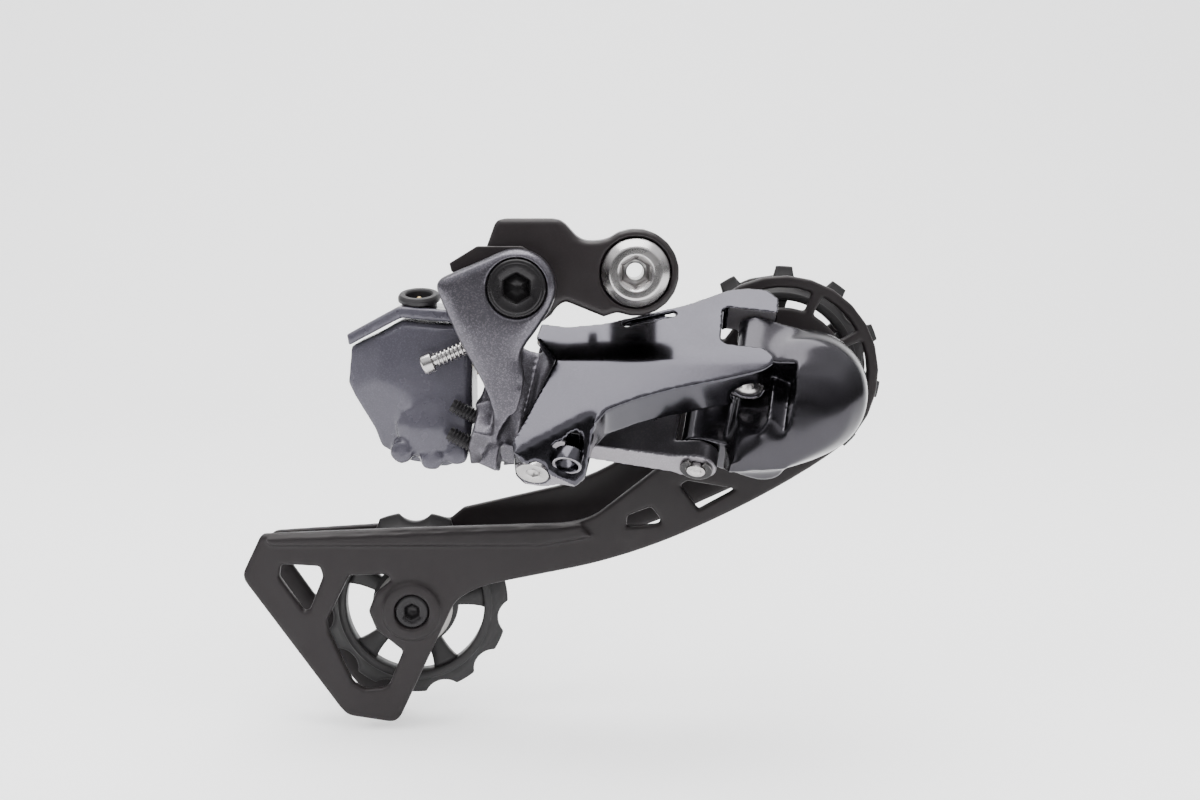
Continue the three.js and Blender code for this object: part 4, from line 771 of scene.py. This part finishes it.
def makePivot():
    p = pivot
    place = axisFrame((p["at"][0], 0, p["at"][1]), inboard)
    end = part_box("p_axle")[1].y / mm
    axle, back, plate = p["axle"], p["back"], p["plateAt"]
    turnedPiece("p_axle", [
        (0, 2), (axle - 0.4, 2), (axle, 2.4), (axle, back - 0.6), (4.2, back - 0.6), (4.2, plate),
        (axle - 0.4, plate), (axle - 0.4, end), (0, end),
    ], place, "brightSteel", 60, 0.12)
    spring = coilOf(place @ Matrix.Translation((0, 0, p["springAt"])), p["turns"], p["springRadius"],
                    p["springLength"], p["wire"], "springSteel", 40, 12)
    settle("p_spring_made", meshOf("p_spring", spring), "springSteel", "p_body", "p_spring")
    seal = back - 1.8
    outer, inner = p["sealOuter"], p["sealInner"]
    turnedPiece("spring_seal", [
        (inner, seal), (outer, seal), (outer, seal + 0.5), (outer - 0.3, seal + 0.7), (outer - 0.3, seal + 0.9),
        (outer, seal + 1.1), (outer, back), (inner, back),
    ], place, "darkPlastic", 72, 0.1, True)
    low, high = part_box("cage_stop_pin")
    spot = (low + high) / 2 / mm
    place = axisFrame((spot.x, 0, spot.z), inboard)
    turnedPiece("cage_stop_pin", [
        (0, low.y / mm), (0.9, low.y / mm), (1.2, low.y / mm + 0.3), (1.2, plate - 0.1), (0.9, plate - 0.1),
        (0.9, high.y / mm), (0, high.y / mm),
    ], place, "brightSteel", 36, 0.08)
    print("cage pivot made")


makePivot()

# cage and pulleys

plateLook = {"finish": "cageBlack", "slot": "satin_black", "grid": 0.3, "rounds": 4}
pulleyLook = {
    "teeth": 11, "pitch": 12.7, "rollerSeat": 4.6, "valleyDrop": 3.95, "middle": 28, "half": 1.15,
    "hub": 8, "bore": 4.5, "ringInner": 15.4, "ringOuter": 17.2, "ringHalf": 2.1,
    "spokes": 5, "spokeTurn": 9, "shoulderAt": 20.8,
}
pulleys = {
    "guide": {"at": (32, -23), "tip": 22.7, "land": 1.6, "phase": 21.6, "body": "guide_wheel"},
    "tension": {"at": (-48, -75.4), "tip": 20.6, "land": 3.6, "phase": 7.7, "body": "tension_wheel"},
}


def radiusOfTooth(angle, tip, land):
    # outline of one tooth sector: flat land, then a roller seat down to the valley
    p = pulleyLook
    step = 2 * math.pi / p["teeth"]
    pitchRadius = p["pitch"] / (2 * math.sin(step / 2))
    seat = min(p["rollerSeat"], pitchRadius * math.sin(step / 2) - land / 2)
    centre = pitchRadius - p["valleyDrop"] + seat
    off = step / 2 - abs(angle)
    under = seat ** 2 - (centre * math.sin(off)) ** 2
    if under <= 0:
        return tip
    return min(tip, centre * math.cos(off) - math.sqrt(under))


def toothSector(tip, land):
    p = pulleyLook
    step = 2 * math.pi / p["teeth"]
    work = bmesh.new()
    columns = []
    count = 44
    inner, outer, rim, h = p["ringInner"], p["ringOuter"], p["ringHalf"], p["half"]
    for k in range(count + 1):
        angle = -step / 2 + step * k / count
        r = radiusOfTooth(angle, tip, land)
        grown = max(0, min(1, (r - 17.4) / (tip - 17.4)))
        thin = h * (1 - 0.5 * grown)  # teeth thin towards their tips
        upper = [(r, thin - 0.35), (r - 0.1, thin - 0.1), (r - 0.35, thin), (outer, h), (outer, rim - 0.2),
                 (outer - 0.2, rim), (inner + 0.2, rim), (inner, rim - 0.2)]
        rows = [(x, -z) for x, z in upper[::-1]] + upper
        columns.append([work.verts.new((x * math.cos(angle), x * math.sin(angle), z)) for x, z in rows])
    for first, second in zip(columns, columns[1:]):
        for j in range(len(first)):
            n = (j + 1) % len(first)
            work.faces.new((first[j], second[j], second[n], first[n]))
    return work


def spokePiece():
    p = pulleyLook
    work = bmesh.new()
    columns = []
    h = p["half"]
    count = 6
    start, end = p["hub"] - 0.4, p["ringInner"] + 0.2
    for k in range(count + 1):
        r = start + (end - start) * k / count
        half = math.radians(p["spokeTurn"]) * r * (1 + 0.25 * abs(2 * k / count - 1) ** 2)
        rows = [(-half, -h + 0.2), (-half + 0.2, -h), (half - 0.2, -h), (half, -h + 0.2), (half, h - 0.2),
                (half - 0.2, h), (-half + 0.2, h), (-half, h - 0.2)]
        columns.append([work.verts.new((r, y, z)) for y, z in rows])
    for first, second in zip(columns, columns[1:]):
        for j in range(8):
            n = (j + 1) % 8
            work.faces.new((first[j], first[n], second[n], second[j]))
    work.faces.new(columns[0])
    work.faces.new(columns[-1][::-1])
    return work


def helperObject(name, work):
    mesh = bpy.data.meshes.new(name)
    bmesh.ops.recalc_face_normals(work, faces=work.faces)
    work.to_mesh(mesh)
    work.free()
    helper = bpy.data.objects.new(name, mesh)
    bpy.context.scene.collection.objects.link(helper)
    return helper


def ringOf(helper, count, phase, place, finish, weld):
    return runTree(ringTree, ringSockets, {"Count": count, "Phase": float(phase), "Piece": helper,
                                           "Weld": float(weld), "Material": materials[finish]}, place)


def makePulley(name, look):
    p = pulleyLook
    place = axisFrame((look["at"][0], p["middle"], look["at"][1]), outboard)
    ahead = place.inverted().to_3x3() @ Vector((1, 0, 0))
    forward = math.atan2(ahead.y, ahead.x)
    up = place.inverted().to_3x3() @ Vector((0, 0, 1))
    sense = 1 if (ahead.x * up.y - ahead.y * up.x) > 0 else -1
    sector = helperObject(name + "_tooth", toothSector(look["tip"], look["land"]))
    spoke = helperObject(name + "_spoke", spokePiece())
    phase = forward + sense * math.radians(look["phase"])
    teeth = ringOf(sector, p["teeth"], phase, place, "pulleyPlastic", 0.01)
    spokes = ringOf(spoke, p["spokes"], phase, place, "pulleyPlastic", 0.0)
    bore, boss = p["bore"], p["hub"]
    side = [(9.5, 1.2), (boss, 1.9), (boss, 3.2), (boss - 0.4, 3.6), (bore, 3.6)]
    hub = turnedMesh([(r, -z) for r, z in side[::-1]] + [(9.6, 0)] + side, place, 72, 0.15, True)
    mesh = meshOf(name + "_pulley", teeth, spokes, hub)
    settle(name + "_pulley_made", mesh, "pulleyPlastic", look["body"], name + "_pulley")
    for helper in (sector, spoke):
        bpy.data.objects.remove(helper)
    turnedPiece(name + "_bush", [(2.6, -5.2), (4.4, -5.2), (4.4, 5.2), (2.6, 5.2)], place, "brassTone",
                60, 0.12, True)
    cap = [(bore, 3.85), (8.6, 3.85), (8.6, 4.5), (7.9, 4.85), (6.8, 5.2), (5.2, 5.2), (bore, 5.0)]
    for way, label in ((1, "outer"), (-1, "inner")):
        turnedPiece(name + "_cap_" + label, [(r, way * z) for r, z in cap], place, "springSteel",
                    72, 0.15, True)
    low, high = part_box(name + "_bolt")
    start = p["middle"] - high.y / mm
    end = p["middle"] - low.y / mm
    shoulder = p["middle"] - p["shoulderAt"]
    turnedPiece(name + "_bolt", [
        (0, end - 2), (1.75, end - 2, "hex"), (1.75, end - 0.3, "hex"), (2.0, end), (3.3, end), (3.7, end - 0.35),
        (3.7, shoulder), (2.5, shoulder), (2.5, start + 0.4), (2.1, start), (0, start),
    ], place, "blackSteel", 72, 0.12)


def makeCage():
    for node in ("cage_outer_plate", "cage_inner_plate"):
        castPiece(node, **plateLook)
    for name, look in pulleys.items():
        makePulley(name, look)
    print("cage made")


makeCage()

# motor unit

unit = {
    "motor_case": {"finish": "motorGrey", "slot": "grey_plastic", "grid": 0.32, "rounds": 6},
    "motor_cover": {"finish": "darkPlastic", "slot": "dark_plastic", "grid": 0.3, "rounds": 4},
    "top_lid": {"finish": "motorGrey", "slot": "grey_plastic", "grid": 0.24, "rounds": 4},
    "control_board": {"finish": "boardGreen", "slot": "board", "grid": 0.25, "rounds": 2},
    "motor_can": {"finish": "springSteel", "slot": "steel", "grid": 0.25, "rounds": 3},
}
port = {"at": (-43, 1.6, -8.4), "tilt": 14}
coverScrews = {"places": ((-52.6, -18.4), (-47, -33.4), (-36.4, -13.8)), "head": 1.9, "shank": 0.95}


def makeMotorUnit():
    for node, look in unit.items():
        castPiece(node, **look)
    tilt = math.radians(port["tilt"])
    place = axisFrame(port["at"], (0, -math.sin(tilt), math.cos(tilt)))
    turnedPiece("connector_port", [
        (0, 0.8), (3.5, 0.8), (3.5, 2.3), (4.2, 2.6), (4.2, 3.4), (3.8, 4), (2.9, 4), (2.6, 3.6), (2.6, 1.6),
        (0, 1.6),
    ], place, "darkPlastic", 72, 0.12)
    turnedPiece("port_contact", [(0, 1.7), (0.6, 1.7), (0.6, 3), (0.3, 3.3), (0, 3.3)], place, "brassTone",
                36, 0.08)
    head, shank = coverScrews["head"], coverScrews["shank"]
    for i, at in enumerate(coverScrews["places"]):
        node = "cover_screw_" + str(i + 1)
        low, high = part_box(node)
        place = axisFrame((at[0], 0, at[1]), inboard)
        start, end = low.y / mm, high.y / mm
        thread = coilOf(place @ Matrix.Translation((0, 0, start + 0.3)), 7, shank - 0.1, 4.2, 0.1, "brightSteel",
                        24, 5)
        turnedPiece(node, [
            (0, start), (shank - 0.2, start), (shank - 0.12, start + 0.3), (shank - 0.12, end - 1.35),
            (head, end - 1.35), (head, end - 0.3), (head - 0.4, end), (0.95, end), (0.8, end - 0.2, "hex"),
            (0.8, end - 0.9, "hex"), (0, end - 0.9),
        ], place, "brightSteel", 48, 0.08, False, [thread])
    print("motor unit made")


makeMotorUnit()

# floor, light and camera

studio = {"floor": -0.1025, "near": -0.42, "back": 0.9, "sweep": 0.4, "top": 1.6, "half": 2,
          "eye": (-0.0079, -0.2986, 0.0149), "down": 7.78, "side": 0.19, "lens": 45}
# place, point aimed at, size, power, seen in reflections
lamps = {
    "top": ((-0.05, 0.05, 0.9), (0, 0, -0.03), 0.9, 14, True),
    "left": ((-0.9, -0.5, 0.5), (-0.02, 0, -0.04), 0.7, 9, False),
    "right": ((0.8, -0.5, 0.6), (0.02, 0, -0.03), 0.7, 8, False),
    "front": ((0, -1.1, 0.5), (0, 0, -0.03), 0.9, 10, False),
}


def makeStudio():
    # one sheet swept up behind the object
    work = bmesh.new()
    sweep = studio["sweep"]
    bendAt = studio["back"] - sweep
    rows = [(studio["near"], 0), (bendAt, 0)]
    for k in range(1, 13):
        angle = math.pi / 2 * k / 12
        rows.append((bendAt + sweep * math.sin(angle), sweep * (1 - math.cos(angle))))
    rows.append((studio["back"], studio["top"]))
    sides = (-studio["half"], studio["half"])
    lines = [[work.verts.new((x, y, studio["floor"] + z)) for y, z in rows] for x in sides]
    for k in range(len(rows) - 1):
        work.faces.new((lines[0][k], lines[1][k], lines[1][k + 1], lines[0][k + 1]))
    mesh = bpy.data.meshes.new("studioSheet")
    work.to_mesh(mesh)
    work.free()
    sheet = bpy.data.objects.new("studioSheet", mesh)
    bpy.context.scene.collection.objects.link(sheet)
    mesh.polygons.foreach_set("use_smooth", [True] * len(mesh.polygons))
    paper = bpy.data.materials.new("paper")
    paper.use_nodes = True
    shader = paper.node_tree.nodes["Principled BSDF"]
    shader.inputs["Base Color"].default_value = (.9, .9, .9, 1)
    shader.inputs["Roughness"].default_value = 0.95
    shader.inputs["Emission Color"].default_value = (1, 1, 1, 1)
    seen = addNode(paper.node_tree, "ShaderNodeLightPath", (-600, 0))
    lift = addNode(paper.node_tree, "ShaderNodeMath", (-400, 0), operation="MULTIPLY")
    lift.inputs[1].default_value = 0.35
    paper.node_tree.links.new(seen.outputs["Is Camera Ray"], lift.inputs[0])
    paper.node_tree.links.new(lift.outputs[0], shader.inputs["Emission Strength"])
    mesh.materials.append(paper)

    # pale room: bright overhead, dim in front, and plain pale where the camera looks straight at it
    world = bpy.data.worlds.new("studio")
    world.use_nodes = True
    tree = world.node_tree
    sky = tree.nodes["Background"]
    plain = addNode(tree, "ShaderNodeBackground", (0, -200))
    plain.inputs["Color"].default_value = (1, 1, 1, 1)
    plain.inputs["Strength"].default_value = 1.0
    where = addNode(tree, "ShaderNodeTexCoord", (-800, 0))
    height = addNode(tree, "ShaderNodeSeparateXYZ", (-600, 0))
    ramp = addNode(tree, "ShaderNodeValToRGB", (-400, 0))
    stops = ((0.0, .30), (0.42, .10), (0.53, .14), (0.68, .55), (0.80, 1.35), (1.0, 1.1))
    for i, (at, value) in enumerate(stops):
        stop = ramp.color_ramp.elements[i] if i < 2 else ramp.color_ramp.elements.new(at)
        stop.position = at
        stop.color = (value, value, value * 1.02, 1)
    half = addNode(tree, "ShaderNodeMapRange", (-500, -200))
    half.inputs["From Min"].default_value = -1
    seen = addNode(tree, "ShaderNodeLightPath", (-200, 300))
    choose = addNode(tree, "ShaderNodeMixShader", (200, 0))
    tree.links.new(where.outputs["Generated"], height.inputs[0])
    tree.links.new(height.outputs["Z"], half.inputs["Value"])
    tree.links.new(half.outputs["Result"], ramp.inputs["Fac"])
    tree.links.new(ramp.outputs["Color"], sky.inputs["Color"])
    sky.inputs["Strength"].default_value = 1.0
    tree.links.new(seen.outputs["Is Camera Ray"], choose.inputs["Fac"])
    tree.links.new(sky.outputs[0], choose.inputs[1])
    tree.links.new(plain.outputs[0], choose.inputs[2])
    tree.links.new(choose.outputs[0], tree.nodes["World Output"].inputs["Surface"])
    bpy.context.scene.world = world

    for name, (at, aim, size, power, inGloss) in lamps.items():
        lamp = bpy.data.lights.new(name, "AREA")
        lamp.size = size
        lamp.energy = power
        holder = bpy.data.objects.new(name, lamp)
        holder.location = at
        holder.rotation_euler = (Vector(aim) - Vector(at)).to_track_quat("-Z", "Y").to_euler()
        holder.visible_glossy = inGloss
        bpy.context.scene.collection.objects.link(holder)

    down, side = math.radians(studio["down"]), math.radians(studio["side"])
    ahead = Vector((math.sin(side) * math.cos(down), math.cos(side) * math.cos(down), -math.sin(down)))
    across = Vector((math.cos(side), -math.sin(side), 0))
    basis = Matrix((across, across.cross(ahead), -ahead)).transposed()
    camera = bpy.data.objects.new("camera", bpy.data.cameras.new("camera"))
    camera.data.lens = studio["lens"]
    camera.data.sensor_width = 36
    camera.data.clip_start = 0.01
    camera.matrix_world = Matrix.Translation(Vector(studio["eye"])) @ basis.to_4x4()
    bpy.context.scene.collection.objects.link(camera)
    bpy.context.scene.camera = camera
    print("studio made")


makeStudio()
